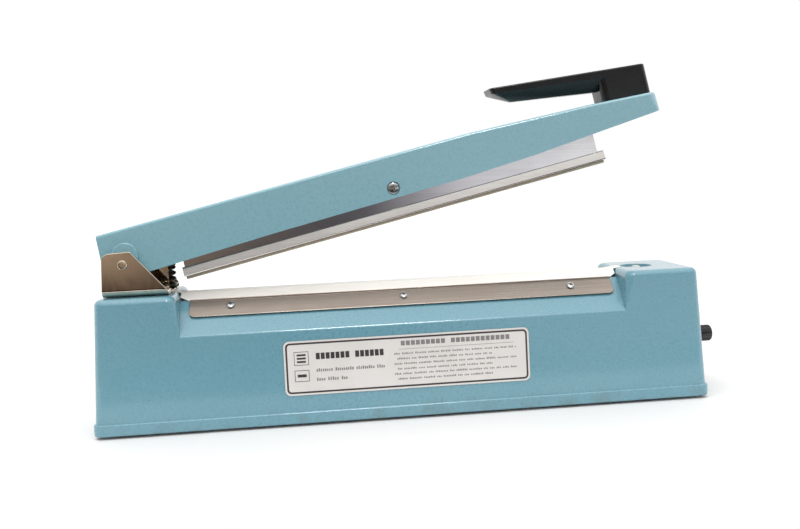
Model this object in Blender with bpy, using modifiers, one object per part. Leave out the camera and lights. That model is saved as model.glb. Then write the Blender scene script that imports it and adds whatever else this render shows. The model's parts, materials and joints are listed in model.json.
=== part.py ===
"""Hand impulse heat sealer: a cast base with a sealing bar, and a sprung arm that presses rubber on it.

Metres, +Z up. Blender 4.5. The machine is modelled about the middle of its base, with the underside of the
base flange at height 0, and hangs from one empty that puts its bounding box on the world origin.
The arm is modelled closed, about its hinge pin, and its empty tilts it to the open rest position.
"""

import math

import bmesh
import bpy
from mathutils import Matrix, Vector

# --- driving dimensions ------------------------------------------------------------------------------

BASE_LENGTH = 0.450  # over the flange
BASE_WIDTH = 0.084
BASE_HEIGHT = 0.096
FLANGE_HEIGHT = 0.0087
FLANGE_STEP = 0.0013  # how far the wall stands in from the flange
DRAFT = 0.0488  # the cast walls lean in by this much per unit of height
WALL = 0.003
FOOT_STAND = 0.002  # the feet lift the flange off the table

RECESS_LEFT = -0.161  # the work slopes between the two end blocks
RECESS_RIGHT = 0.1623
SLOPE_FOOT = (0.0378, 0.0673)  # half width and height where the slope leaves the wall
RIDGE = (0.0140, 0.0895)  # half width and height of the ridge at the top of the slopes
GROOVE_HALF_WIDTH = 0.0068
GROOVE_FLOOR = 0.0832
GROOVE_LEFT = -0.1665
GROOVE_RIGHT = 0.1668

BAR_HALF_WIDTH = 0.0060
SEAL_TOP = 0.0952  # top of the cloth over the heating element
SHEET = 0.00035  # thickness of the cloth, the underlay and the element
GAP = 0.0003  # clearance between pieces that touch

CLAMP_LEFT = -0.1555
CLAMP_RIGHT = 0.158
CLAMP_LENGTHS = (0.0145, 0.0024)  # up the slope: the flat, then the bent lip
CLAMP_THICKNESS = 0.001
CLAMP_SCREW_X = (-0.126, 0.0, 0.126)

HINGE = Vector((-0.199, 0.0, 0.1194))
OPEN_ANGLE = math.radians(12.8)
EAR_OUTSIDE = 0.0275
EAR_THICKNESS = 0.0015
BRACKET_LEFT = -0.2153
BRACKET_RIGHT = -0.1686

ARM_HALF_WIDTH = 0.0235
ARM_DRAFT = 1.4  # share of its half width that a side wall leans in, per metre of height
ARM_WALL = 0.0028
ARM_BOSS = (0.014, 0.0256)  # radius and half width of the round bosses at the pin
PIVOT = Vector((0.200, 0.0, 0.001))  # press bar pivot, from the hinge pin with the arm closed

PRESS_BAR = (0.036, 0.363)
RUBBER_BOTTOM = -0.0236
BAR_SHOULDER = -0.0145

HANDLE_HALF_WIDTH = 0.0134
HANDLE_BLOCK = (0.3675, 0.4082)

KNOB_HEIGHT = 0.0393
KNOB_RADIUS = 0.00625
KNOB_SPAN = (0.2256, 0.2440)
LAMP_X = 0.1846
LAMP_RECESS = (0.012, 0.0016)  # radius and depth

PLUNGER_X = -0.185
PLUNGER_HOLE = 0.0027
SPRING_X = -0.1712
SPRING_COIL = 0.0042  # radius at the middle of the wire
SPRING_WIRE = 0.00065
SPRING_TURNS = 8
SPRING_SPAN = (0.0981, 0.1168)

LABEL = (0.178, 0.039)
LABEL_CENTRE = (-0.0005, 0.040)

HANDLE_SCREW_X = (0.378, 0.397)  # from the hinge pin, with the arm closed

# Pan-head screws: head radius, head height, shank radius and shank length.
PLATE_SCREW = (0.0032, 0.0020, 0.0016, 0.0125)
CLAMP_SCREW = (0.0026, 0.0015, 0.0014, 0.0075)
BRACKET_SCREW = (0.0034, 0.0020, 0.0016, 0.0075)
ANCHOR_SCREW = (0.0034, 0.0022, 0.0014, 0.0030)
HANDLE_SCREW = (0.0036, 0.0022, 0.0016, 0.0135)

# Where the machine's pieces meet its cast base, from the middle of the base.
PLATE_SCREWS = [(x, y) for x in (-0.206, 0.206) for y in (-0.0325, 0.0325)]
FEET = [(x, y) for x in (-0.188, 0.188) for y in (-0.026, 0.026)]
BRACKET_SCREWS = [(x, y) for x in (-0.208, -0.1785) for y in (-0.0165, 0.0165)]
GROMMET = Vector((0.185, 0.0, 0.026))

# --- scene, collections and materials ----------------------------------------------------------------

for old in list(bpy.data.objects):
    bpy.data.objects.remove(old)

parts = bpy.data.collections.new("impulse_heat_sealer")
cutters = bpy.data.collections.new("cutters")
bpy.context.scene.collection.children.link(parts)
bpy.context.scene.collection.children.link(cutters)


def look(name, color, roughness=0.5, metallic=0.0):
    """A plain Principled material."""
    material = bpy.data.materials.new(name)
    material.use_nodes = True
    shader = material.node_tree.nodes["Principled BSDF"]
    shader.inputs["Base Color"].default_value = (*color, 1.0)
    shader.inputs["Roughness"].default_value = roughness
    shader.inputs["Metallic"].default_value = metallic
    material.diffuse_color = (*color, 1.0)
    return material


PAINT = look("blue_paint", (0.17, 0.37, 0.43), 0.35)
ALUMINIUM = look("aluminium", (0.78, 0.78, 0.79), 0.3, 1.0)
STAINLESS = look("stainless_sheet", (0.55, 0.52, 0.48), 0.2, 1.0)
NICKEL = look("nickel_plate", (0.50, 0.44, 0.37), 0.2, 1.0)
SCREW_STEEL = look("zinc_steel", (0.62, 0.62, 0.63), 0.3, 1.0)
SPRING_STEEL = look("spring_steel", (0.07, 0.065, 0.05), 0.4, 1.0)
BRASS = look("brass", (0.78, 0.57, 0.25), 0.3, 1.0)
NICHROME = look("nichrome", (0.35, 0.33, 0.31), 0.4, 1.0)
COPPER = look("copper_winding", (0.62, 0.27, 0.13), 0.35, 0.6)
LAMINATION = look("lamination_steel", (0.20, 0.20, 0.21), 0.5, 0.8)
BLACK_PLASTIC = look("black_plastic", (0.025, 0.025, 0.027), 0.35)
KNOB_PLASTIC = look("knob_plastic", (0.02, 0.02, 0.02), 0.4)
PTFE = look("ptfe_cloth", (0.85, 0.80, 0.74), 0.55)
UNDERLAY = look("glass_cloth", (0.62, 0.50, 0.32), 0.8)
SILICONE = look("silicone_rubber", (0.42, 0.36, 0.28), 0.7)
RUBBER = look("black_rubber", (0.02, 0.02, 0.02), 0.8)
BOARD = look("circuit_board", (0.05, 0.22, 0.10), 0.5)
PHENOLIC = look("phenolic", (0.22, 0.10, 0.04), 0.6)
LENS = look("lamp_lens", (0.85, 0.83, 0.76), 0.15)
LABEL_STOCK = look("label_stock", (0.75, 0.74, 0.72), 0.4)


def empty(name, location, parent=None, tilt=0.0):
    """A frame that pieces hang from, turned by `tilt` about Y."""
    holder = bpy.data.objects.new(name, None)
    holder.location = location
    holder.rotation_euler = (0.0, tilt, 0.0)
    holder.parent = parent
    parts.objects.link(holder)
    return holder


LENGTH_OVERALL = BASE_LENGTH / 2 + KNOB_SPAN[1]
machine = empty("machine_origin", (BASE_LENGTH / 2 - LENGTH_OVERALL / 2, 0.0, FOOT_STAND))
arm_frame = empty("arm_hinge_frame", HINGE, machine, -OPEN_ANGLE)
bar_frame = empty("press_bar_frame", PIVOT, arm_frame)
knob_frame = empty("timer_knob_frame", (0.0, 0.0, KNOB_HEIGHT), machine)
plunger_frame = empty("plunger_frame", (PLUNGER_X, 0.0, 0.0), machine)

# --- shapes ------------------------------------------------------------------------------------------

# How an outline's own axes lie: extruded along X it is read as (Y, Z), along Y as (X, Z), along Z as (X, Y).
ALONG_X = Matrix(((0, 0, 1), (1, 0, 0), (0, 1, 0))).to_4x4()
ALONG_Y = Matrix(((1, 0, 0), (0, 0, -1), (0, 1, 0))).to_4x4()
ALONG_Z = Matrix.Identity(4)


def piece(name, mesh, material, parent, smooth=False):
    """A visible part."""
    obj = bpy.data.objects.new(name, mesh)
    mesh.materials.clear()
    mesh.materials.append(material)
    if smooth:
        mesh.shade_smooth()
        mesh.set_sharp_from_angle(angle=math.radians(35))
    obj.parent = parent
    parts.objects.link(obj)
    return obj


def tool(name, mesh, parent):
    """A helper for a Boolean, left out of the object."""
    obj = bpy.data.objects.new(name, mesh)
    obj.parent = parent
    obj.hide_render = True
    obj.display_type = "WIRE"
    cutters.objects.link(obj)
    return obj


def combine(target, helper, operation="DIFFERENCE"):
    modifier = target.modifiers.new(operation.lower(), "BOOLEAN")
    modifier.operation = operation
    modifier.solver = "EXACT"
    modifier.object = helper


def cut(target, mesh):
    combine(target, tool(f"{target.name}_cut", mesh, target.parent))


def join(target, mesh):
    combine(target, tool(f"{target.name}_add", mesh, target.parent), "UNION")


def face_out(shape):
    """Turns the faces of a closed bmesh outwards."""
    bmesh.ops.recalc_face_normals(shape, faces=shape.faces[:])
    if shape.calc_volume(signed=True) < 0:
        bmesh.ops.reverse_faces(shape, faces=shape.faces[:])


def finished(shape, name="shape"):
    """A bmesh as a mesh, with its normals pointing out."""
    face_out(shape)
    mesh = bpy.data.meshes.new(name)
    shape.to_mesh(mesh)
    shape.free()
    return mesh


def box(low, high):
    shape = bmesh.new()
    bmesh.ops.create_cube(shape, size=1.0)
    low = Vector(low)
    high = Vector(high)
    for vertex in shape.verts:
        for axis in range(3):
            vertex.co[axis] = low[axis] + (vertex.co[axis] + 0.5) * (high[axis] - low[axis])
    return finished(shape)


def cylinder(start, end, radius, sides=24, end_radius=None):
    """A round bar, or a cone, from start to end."""
    start = Vector(start)
    end = Vector(end)
    shape = bmesh.new()
    bmesh.ops.create_cone(
        shape,
        cap_ends=True,
        segments=sides,
        radius1=radius,
        radius2=radius if end_radius is None else end_radius,
        depth=(end - start).length,
    )
    turn = (end - start).to_track_quat("Z", "Y").to_matrix().to_4x4()
    bmesh.ops.transform(shape, matrix=Matrix.Translation((start + end) / 2) @ turn, verts=shape.verts[:])
    return finished(shape)


def frustum(bottom, top, low, high):
    """A block whose half length and half width change from its bottom to its top."""
    shape = bmesh.new()
    bmesh.ops.create_cube(shape, size=2.0)
    for vertex in shape.verts:
        half = top if vertex.co.z > 0 else bottom
        vertex.co = (vertex.co.x * half[0], vertex.co.y * half[1], high if vertex.co.z > 0 else low)
    return finished(shape)


def round_edges(mesh, radius, segments, chosen):
    """Rounds the edges whose two end points both pass the test."""
    shape = bmesh.new()
    shape.from_mesh(mesh)
    edges = [edge for edge in shape.edges if chosen(*(vertex.co for vertex in edge.verts))]
    bmesh.ops.bevel(shape, geom=edges, offset=radius, segments=segments, profile=0.5, affect="EDGES")
    face_out(shape)
    shape.to_mesh(mesh)
    shape.free()
    return mesh


def moved(mesh, matrix):
    mesh.transform(matrix)
    return mesh


def arc(centre, radius, start, end, steps):
    """Points on a circle, angles in degrees."""
    points = []
    for step in range(steps + 1):
        angle = math.radians(start + (end - start) * step / steps)
        points.append((centre[0] + radius * math.cos(angle), centre[1] + radius * math.sin(angle)))
    return points


def rounded(corners, steps=4):
    """An outline whose corners (x, y, radius) are rounded where the radius isn't 0."""
    points = []
    count = len(corners)
    for index, (x, y, radius) in enumerate(corners):
        corner = Vector((x, y))
        if radius == 0:
            points.append((x, y))
            continue
        back = (Vector(corners[index - 1][:2]) - corner).normalized()
        ahead = (Vector(corners[(index + 1) % count][:2]) - corner).normalized()
        half = back.angle(ahead) / 2
        reach = radius / math.tan(half)
        centre = corner + (back + ahead).normalized() * (radius / math.sin(half))
        first = corner + back * reach - centre
        turn = first.angle_signed(corner + ahead * reach - centre)
        for step in range(steps + 1):
            spoke = first.copy()
            spoke.rotate(Matrix.Rotation(-turn * step / steps, 2))
            points.append(tuple(centre + spoke))
    return points


def slab(outline, low, high, axes, holes=()):
    """An outline, with any holes in it, extruded from low to high along the axis that `axes` names."""
    curve = bpy.data.curves.new("outline", "CURVE")
    curve.dimensions = "2D"
    curve.fill_mode = "BOTH"
    curve.extrude = (high - low) / 2
    for points in (outline, *holes):
        spline = curve.splines.new("POLY")
        spline.points.add(len(points) - 1)
        for point, (x, y) in zip(spline.points, points):
            point.co = (x, y, 0.0, 1.0)
        spline.use_cyclic_u = True
    return solid_from_curve(curve, axes @ Matrix.Translation((0.0, 0.0, slab_middle(low, high, axes))))


def slab_middle(low, high, axes):
    """The extrusion's middle along the outline's own third axis, which points to -Y when it lies along Y."""
    middle = (low + high) / 2
    return -middle if axes is ALONG_Y else middle


def solid_from_curve(curve, matrix):
    """The mesh of a filled or bevelled curve, welded where its caps meet its sides."""
    holder = bpy.data.objects.new("curve", curve)
    bpy.context.scene.collection.objects.link(holder)
    graph = bpy.context.evaluated_depsgraph_get()
    mesh = bpy.data.meshes.new_from_object(holder.evaluated_get(graph))
    bpy.data.objects.remove(holder)
    shape = bmesh.new()
    shape.from_mesh(mesh)
    bmesh.ops.remove_doubles(shape, verts=shape.verts[:], dist=1e-6)
    bmesh.ops.dissolve_limit(shape, angle_limit=0.001, verts=shape.verts[:], edges=shape.edges[:])
    bmesh.ops.transform(shape, matrix=matrix, verts=shape.verts[:])
    return finished(shape)


def turned(name, profile, material, parent, origin, axis, steps=20):
    """A piece turned about `axis` through `origin`, from (radius, height) points, top down on its outside."""
    mesh = bpy.data.meshes.new(name)
    points = [(radius, 0.0, height) for radius, height in profile]
    mesh.from_pydata(points, [(index, index + 1) for index in range(len(points) - 1)], [])
    obj = piece(name, mesh, material, parent)
    obj.location = origin
    obj.rotation_mode = "QUATERNION"
    obj.rotation_quaternion = Vector(axis).to_track_quat("Z", "Y")
    screw = obj.modifiers.new("turn", "SCREW")
    screw.steps = steps
    screw.render_steps = steps
    screw.use_merge_vertices = True
    screw.merge_threshold = 0.00001
    screw.use_smooth_shade = True


def pan_screw(name, size, origin, axis, parent, material=SCREW_STEEL):
    """A pan-head screw whose head's underside is at `origin` and whose head points along `axis`."""
    head, crown, shank, length = size
    profile = [
        (0.0, crown),
        (head * 0.55, crown * 0.94),
        (head * 0.9, crown * 0.6),
        (head, crown * 0.2),
        (head, 0.0),
        (shank, 0.0),
        (shank, -length),
        (0.0, -length),
    ]
    turned(name, profile, material, parent, origin, axis, steps=16)


def across(point):
    """An outline's point reflected to the other side, for outlines that are the same front and back."""
    return (-point[0], point[1])


def both_sides(half):
    """A whole outline from its points on one side."""
    return half + [across(point) for point in reversed(half)]


# --- base casting ------------------------------------------------------------------------------------


def wall_half(height):
    """Half length and half width of the cast walls' outside at a height."""
    inset = FLANGE_STEP + DRAFT * (height - FLANGE_HEIGHT)
    return (BASE_LENGTH / 2 - inset, BASE_WIDTH / 2 - inset)


def shrunk(half, by):
    return (half[0] - by, half[1] - by)


def slope_point(along, proud):
    """A point (half width, height) on the work slope: `along` it from its foot, and `proud` of it."""
    rise = Vector((-SLOPE_FOOT[0] + RIDGE[0], RIDGE[1] - SLOPE_FOOT[1])).normalized()
    out = Vector((rise.y, -rise.x))
    point = Vector(SLOPE_FOOT) + rise * along + out * proud
    return (point.x, point.y)


SLOPE_LENGTH = (Vector(RIDGE) - Vector(SLOPE_FOOT)).length
CEILING = BASE_HEIGHT - WALL
CAVITY_SHOULDER = 0.064  # above this height the hollow narrows to the end blocks and the ridge


def base_housing():
    """The shell: flanged walls, two end blocks, the slopes and ridge between them, and the bar's groove."""
    top = wall_half(BASE_HEIGHT)
    hidden = FLANGE_HEIGHT / 2  # the walls start inside the flange
    outside = frustum(wall_half(hidden), top, hidden, BASE_HEIGHT)
    round_edges(outside, 0.006, 4, lambda a, b: abs(a.z - b.z) > 0.01)
    round_edges(outside, 0.0045, 3, lambda a, b: min(a.z, b.z) > BASE_HEIGHT - 0.0001)
    housing = piece("base_housing", outside, PAINT, machine, smooth=True)

    flange_half = (BASE_LENGTH / 2, BASE_WIDTH / 2)
    flange = frustum(flange_half, flange_half, 0.0, FLANGE_HEIGHT)
    round_edges(flange, 0.006, 4, lambda a, b: abs(a.z - b.z) > 0.004)
    round_edges(flange, 0.0012, 2, lambda a, b: min(a.z, b.z) > FLANGE_HEIGHT - 0.0001)
    join(housing, flange)

    foot_y, foot_z = SLOPE_FOOT
    ridge_y, ridge_z = RIDGE
    reach = 0.022
    low = foot_z - reach * (ridge_z - foot_z) / (foot_y - ridge_y)
    half = [(foot_y + reach, BASE_HEIGHT + 0.01), (foot_y + reach, low), (ridge_y, ridge_z)]
    cut(housing, slab(both_sides(half), RECESS_LEFT, RECESS_RIGHT, ALONG_X))

    bottom = shrunk(wall_half(FLANGE_HEIGHT), WALL)
    cut(housing, frustum(bottom, shrunk(wall_half(CAVITY_SHOULDER), WALL), -0.001, CAVITY_SHOULDER))
    rebate = shrunk(flange_half, 0.003)  # the bottom plate lies in it
    cut(housing, frustum(rebate, rebate, -0.002, 0.003))
    half_x, half_y = shrunk(top, WALL)
    for x_low, x_high in ((-half_x, RECESS_LEFT - WALL), (RECESS_RIGHT + WALL, half_x)):
        cut(housing, box((x_low, -half_y, CAVITY_SHOULDER - 0.004), (x_high, half_y, CEILING)))
    half = [(0.0305, CAVITY_SHOULDER - 0.002), (0.0305, CAVITY_SHOULDER + 0.002), (0.0185, 0.0785)]
    cut(housing, slab(both_sides(half), RECESS_LEFT + WALL, RECESS_RIGHT - WALL, ALONG_X))

    above = BASE_HEIGHT + 0.014
    half_y = GROOVE_HALF_WIDTH
    cut(housing, box((GROOVE_LEFT, -half_y, GROOVE_FLOOR), (GROOVE_RIGHT, half_y, above)))
    for x_low, x_high in ((GROOVE_LEFT, RECESS_LEFT), (RECESS_RIGHT, GROOVE_RIGHT)):
        cut(housing, box((x_low, -half_y, 0.058), (x_high, half_y, above)))

    for x, y in PLATE_SCREWS:
        join(housing, cylinder((x, y, 0.0032), (x, y * 1.02, 0.030), 0.0058, 16))
        cut(housing, cylinder((x, y, 0.001), (x, y, 0.016), 0.0019, 12))
    under = CEILING - 0.008
    for x, y in BRACKET_SCREWS:
        cut(housing, cylinder((x, y, under), (x, y, above), 0.0020, 12))
    cut(housing, cylinder((PLUNGER_X, 0, under), (PLUNGER_X, 0, above), PLUNGER_HOLE, 16))
    radius, depth = LAMP_RECESS
    cut(housing, cylinder((LAMP_X, 0, BASE_HEIGHT - depth), (LAMP_X, 0, above), radius, 40))
    cut(housing, cylinder((LAMP_X, 0, under), (LAMP_X, 0, above), 0.0036, 20))
    cut(housing, cylinder((0.210, 0, KNOB_HEIGHT), (0.230, 0, KNOB_HEIGHT), 0.0048, 24))
    cut(housing, cylinder(GROMMET + Vector((0, 0.033, 0)), GROMMET + Vector((0, 0.045, 0)), 0.0062, 20))
    for side in (-1, 1):
        for x in CLAMP_SCREW_X:
            start = clamp_screw_point(side, x, 0.004)
            cut(housing, cylinder(start, clamp_screw_point(side, x, -0.0065), 0.0018, 12))


def clamp_screw_point(side, x, proud):
    """A point on the axis of a clamp screw, `proud` of the slope on that side."""
    y, z = slope_point(SLOPE_LENGTH - 0.0078, proud)
    return Vector((x, side * y, z))


def bottom_plate():
    """The steel plate in the base's rebate, its four screws and the four rubber feet."""
    corners = both_sides([(0.2215, -0.0387), (0.2215, 0.0387)])
    outline = rounded([(x, y, 0.004) for x, y in corners])
    holes = [arc(spot, 0.0020, 0, 330, 11) for spot in PLATE_SCREWS]
    holes += [arc(spot, 0.0030, 0, 330, 11) for spot in FEET]
    piece("bottom_plate", slab(outline, 0.0014, 0.0026, ALONG_Z, holes), SCREW_STEEL, machine)
    for number, (x, y) in enumerate(PLATE_SCREWS, 1):
        pan_screw(f"plate_screw_{number}", PLATE_SCREW, (x, y, 0.0011), (0, 0, -1), machine)
    for number, (x, y) in enumerate(FEET, 1):
        profile = [
            (0.0, 0.0052),
            (0.0030, 0.0050),
            (0.0042, 0.0029),
            (0.0027, 0.0029),
            (0.0027, 0.0011),
            (0.0070, 0.0011),
            (0.0072, 0.0004),
            (0.0064, -FOOT_STAND),
            (0.0, -FOOT_STAND),
        ]
        turned(f"foot_{number}", profile, RUBBER, machine, (x, y, 0.0), (0, 0, 1))


# --- sealing bar, element, cloth and clamps ----------------------------------------------------------


def sealing_bar():
    """The bar in the ridge's groove, with the underlay and the element on it."""
    thick = 0.00025
    element_low = SEAL_TOP - SHEET - GAP - thick
    underlay_low = element_low - GAP - SHEET
    bar_top = underlay_low - GAP
    outline = rounded(
        [
            (BAR_HALF_WIDTH, GROOVE_FLOOR + GAP, 0),
            (BAR_HALF_WIDTH, bar_top, 0.001),
            (-BAR_HALF_WIDTH, bar_top, 0.001),
            (-BAR_HALF_WIDTH, GROOVE_FLOOR + GAP, 0),
        ],
        2,
    )
    piece("sealing_bar", slab(outline, -0.1615, 0.1625, ALONG_X), ALUMINIUM, machine)
    underlay = box((-0.1615, -0.0046, underlay_low), (0.1625, 0.0046, underlay_low + SHEET))
    piece("bar_underlay", underlay, UNDERLAY, machine)

    left = -0.1640
    right = 0.1650
    low = 0.0720
    outline = [
        (left, low),
        (left + thick, low),
        (left + thick, element_low),
        (right - thick, element_low),
        (right - thick, low),
        (right, low),
        (right, element_low + thick),
        (left, element_low + thick),
    ]
    piece("heating_element", slab(outline, -0.0030, 0.0030, ALONG_Y), NICHROME, machine)


def sheet_path(proud):
    """Where a sheet bends between the bar's edge and the foot of the clamp, as (half width, height)."""
    edge = (BAR_HALF_WIDTH + 0.0006, SEAL_TOP - SHEET / 2 - 0.0001)
    flat, lip = CLAMP_LENGTHS
    top = SLOPE_LENGTH + 0.0004
    bend = slope_point(top - lip, proud)
    foot = slope_point(top - flat - lip, proud)
    return edge, bend, foot


def strip(path, thickness):
    """The outline of a sheet whose middle follows the path."""
    points = [Vector(point) for point in path]
    normals = []
    for index in range(len(points)):
        ahead = points[min(index + 1, len(points) - 1)] - points[max(index - 1, 0)]
        normals.append(Vector((-ahead.y, ahead.x)).normalized() * thickness / 2)
    one = [tuple(point + normal) for point, normal in zip(points, normals)]
    other = [tuple(point - normal) for point, normal in zip(points, normals)]
    return one + other[::-1]


def ptfe_cloth():
    """The cloth runs over the bar and down both slopes, under the clamps."""
    edge, bend, foot = sheet_path(GAP + SHEET / 2)
    half = [foot, bend, edge, (BAR_HALF_WIDTH - 0.0008, SEAL_TOP - SHEET / 2)]
    outline = strip(both_sides(half), SHEET)
    cloth = piece("ptfe_cloth", slab(outline, -0.1575, 0.1600, ALONG_X), PTFE, machine)
    flat = SEAL_TOP - SHEET + 0.00002
    join(cloth, box((-0.1660, -0.0052, flat), (0.1662, 0.0052, SEAL_TOP - 0.00002)))
    return cloth


def clamps(cloth):
    """The two strips that hold the cloth on the slopes, each with three screws that pass through it."""
    proud = GAP + SHEET + GAP + CLAMP_THICKNESS / 2
    flat, lip = CLAMP_LENGTHS
    top = SLOPE_LENGTH + 0.0004
    path = [
        slope_point(top - lip - flat, proud),
        slope_point(top - lip, proud),
        slope_point(top, proud - 0.0003),
    ]
    for side, word in ((-1, "front"), (1, "back")):
        outline = [(side * y, z) for y, z in strip(path, CLAMP_THICKNESS)]
        clamp = piece(f"clamp_{word}", slab(outline, CLAMP_LEFT, CLAMP_RIGHT, ALONG_X), STAINLESS, machine)
        for number, x in enumerate(CLAMP_SCREW_X, 1):
            start = clamp_screw_point(side, x, 0.006)
            cut(clamp, cylinder(start, clamp_screw_point(side, x, -0.002), 0.0019, 14))
            seat = clamp_screw_point(side, x, proud + CLAMP_THICKNESS / 2 + GAP)
            axis = clamp_screw_point(side, x, 1.0) - clamp_screw_point(side, x, 0.0)
            pan_screw(f"clamp_screw_{word}_{number}", CLAMP_SCREW, seat, axis, machine)
            cut(cloth, cylinder(start, clamp_screw_point(side, x, -0.002), 0.0019, 14))


def element_terminals():
    """Brass terminals that take the element's two ends, on insulators under the end blocks."""
    for word, low, high, post in (("left", -0.1706, -0.1644, -1), ("right", 0.1654, 0.1716, 1)):
        piece(f"element_terminal_{word}", box((low, -0.0048, 0.0700), (high, 0.0048, 0.0790)), BRASS, machine)
        near = high + GAP if post > 0 else low - GAP
        far = near + post * 0.0040
        insulator = box((min(near, far), -0.0080, 0.0680), (max(near, far), 0.0080, CEILING - GAP))
        piece(f"terminal_insulator_{word}", insulator, PHENOLIC, machine)


# --- hinge -------------------------------------------------------------------------------------------


def hinge_bracket():
    """The plated channel on the left block whose two ears carry the arm's pin, and the pin."""
    low = BASE_HEIGHT + GAP
    web_top = low + EAR_THICKNESS
    blank = 0.135  # the ears are cut from a channel this high
    inside = EAR_OUTSIDE - EAR_THICKNESS
    outline = rounded(
        [
            (EAR_OUTSIDE, blank, 0),
            (EAR_OUTSIDE, low, 0.0045),
            (-EAR_OUTSIDE, low, 0.0045),
            (-EAR_OUTSIDE, blank, 0),
            (-inside, blank, 0),
            (-inside, web_top, 0.0030),
            (inside, web_top, 0.0030),
            (inside, blank, 0),
        ],
        5,
    )
    channel = slab(outline, BRACKET_LEFT, BRACKET_RIGHT, ALONG_X)
    bracket = piece("hinge_bracket", channel, NICKEL, machine, smooth=True)
    outline = rounded(
        [
            (BRACKET_LEFT - 0.01, 0.090, 0),
            (BRACKET_LEFT, 0.090, 0),
            (BRACKET_LEFT + 0.0020, 0.1276, 0.0055),
            (-0.1935, 0.1286, 0.0008),
            (-0.1692, 0.1006, 0.002),
            (BRACKET_RIGHT, 0.0975, 0),
            (BRACKET_RIGHT, 0.090, 0),
            (BRACKET_RIGHT + 0.01, 0.090, 0),
            (BRACKET_RIGHT + 0.01, 0.145, 0),
            (BRACKET_LEFT - 0.01, 0.145, 0),
        ],
        5,
    )
    cut(bracket, slab(outline, -0.04, 0.04, ALONG_Y))
    cut(bracket, cylinder(HINGE + Vector((0, -0.04, 0)), HINGE + Vector((0, 0.04, 0)), 0.0028, 20))
    for x, y in BRACKET_SCREWS:
        cut(bracket, cylinder((x, y, 0.09), (x, y, 0.102), 0.0020, 12))
    cut(bracket, cylinder((PLUNGER_X, 0, 0.09), (PLUNGER_X, 0, 0.102), PLUNGER_HOLE, 16))
    for number, (x, y) in enumerate(BRACKET_SCREWS, 1):
        pan_screw(f"bracket_screw_{number}", BRACKET_SCREW, (x, y, web_top + GAP), (0, 0, 1), machine)

    reach = EAR_OUTSIDE + GAP
    profile = [
        (0.0, reach + 0.0009),
        (0.0026, reach + 0.0010),
        (0.0034, reach + 0.0006),
        (0.0036, reach),
        (0.0025, reach),
        (0.0025, -reach),
        (0.0036, -reach),
        (0.0034, -reach - 0.0006),
        (0.0026, -reach - 0.0010),
        (0.0, -reach - 0.0009),
    ]
    turned("hinge_pin", profile, SCREW_STEEL, machine, HINGE, (0, -1, 0), steps=24)
    return web_top


def spring_guard(web_top):
    """A small plated channel beside the return spring, with the screw that anchors it."""
    low = web_top + GAP
    inner = 0.0086
    thick = 0.0011
    top = 0.1165
    outline = [
        (inner + thick, low),
        (inner + thick, top),
        (inner, top),
        (inner, low + thick),
        (-inner, low + thick),
        (-inner, top),
        (-inner - thick, top),
        (-inner - thick, low),
    ]
    guard = piece("spring_guard", slab(outline, -0.1905, -0.1705, ALONG_X), NICKEL, machine)
    cut(guard, box((-0.1775, -0.0080, 0.09), (-0.16, 0.0080, 0.101)))
    cut(guard, cylinder((PLUNGER_X, 0, 0.09), (PLUNGER_X, 0, 0.102), PLUNGER_HOLE, 16))
    spot = Vector((-0.1737, inner - GAP, 0.1050))
    cut(guard, cylinder(spot + Vector((0, -0.001, 0)), spot + Vector((0, 0.004, 0)), 0.0017, 12))
    pan_screw("spring_anchor_screw", ANCHOR_SCREW, spot, (0, -1, 0), machine, SPRING_STEEL)


def return_spring():
    """A compression spring between the bracket and the seat under the arm, with closed ends."""
    low, high = SPRING_SPAN
    per_turn = 12
    bottom = low + SPRING_WIRE
    travel = high - low - 2 * SPRING_WIRE
    curve = bpy.data.curves.new("return_spring", "CURVE")
    curve.dimensions = "3D"
    curve.bevel_depth = SPRING_WIRE
    curve.bevel_resolution = 2
    curve.use_fill_caps = True
    spline = curve.splines.new("POLY")
    spline.points.add(SPRING_TURNS * per_turn)
    dead = 2 * SPRING_WIRE + 0.0001  # rise of a closed end turn
    for index, point in enumerate(spline.points):
        turns = index / per_turn
        if turns < 1:
            height = dead * turns
        elif turns > SPRING_TURNS - 1:
            height = travel - dead * (SPRING_TURNS - turns)
        else:
            height = dead + (travel - 2 * dead) * (turns - 1) / (SPRING_TURNS - 2)
        angle = turns * 2 * math.pi
        point.co = (
            SPRING_X + SPRING_COIL * math.cos(angle),
            SPRING_COIL * math.sin(angle),
            bottom + height,
            1.0,
        )
    spring = bpy.data.objects.new("return_spring", curve)
    curve.materials.append(SPRING_STEEL)
    spring.parent = machine
    parts.objects.link(spring)


# --- inside the base ---------------------------------------------------------------------------------


def switch_parts():
    """The plunger that the arm pushes, the microswitch under it and the plate that holds the switch."""
    profile = [
        (0.0, 0.1138),
        (0.0012, 0.1135),
        (0.0020, 0.1126),
        (0.0020, 0.0900),
        (0.0036, 0.0900),
        (0.0036, 0.0885),
        (0.0020, 0.0885),
        (0.0020, 0.0705),
        (0.0, 0.0705),
    ]
    turned("switch_plunger", profile, BLACK_PLASTIC, plunger_frame, (0, 0, 0), (0, 0, 1))
    case = box((-0.199, -0.0050, 0.0500), (-0.171, 0.0050, 0.0650))
    switch = piece("micro_switch", case, BLACK_PLASTIC, machine)
    join(switch, cylinder((PLUNGER_X, 0, 0.064), (PLUNGER_X, 0, 0.0666), 0.0014, 12))
    outline = [
        (0.0053, 0.0500),
        (0.0065, 0.0500),
        (0.0065, 0.0910),
        (0.0220, 0.0910),
        (0.0220, CEILING - GAP),
        (0.0053, CEILING - GAP),
    ]
    holder = piece("switch_bracket", slab(outline, -0.2125, -0.1754, ALONG_X), SCREW_STEEL, machine)
    for x, y in BRACKET_SCREWS:
        if y > 0:
            cut(holder, cylinder((x, y, 0.088), (x, y, 0.095), 0.0021, 12))
    cut(holder, box((-0.1815, 0.0043, 0.066), (-0.16, 0.0075, 0.0905)))


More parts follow.
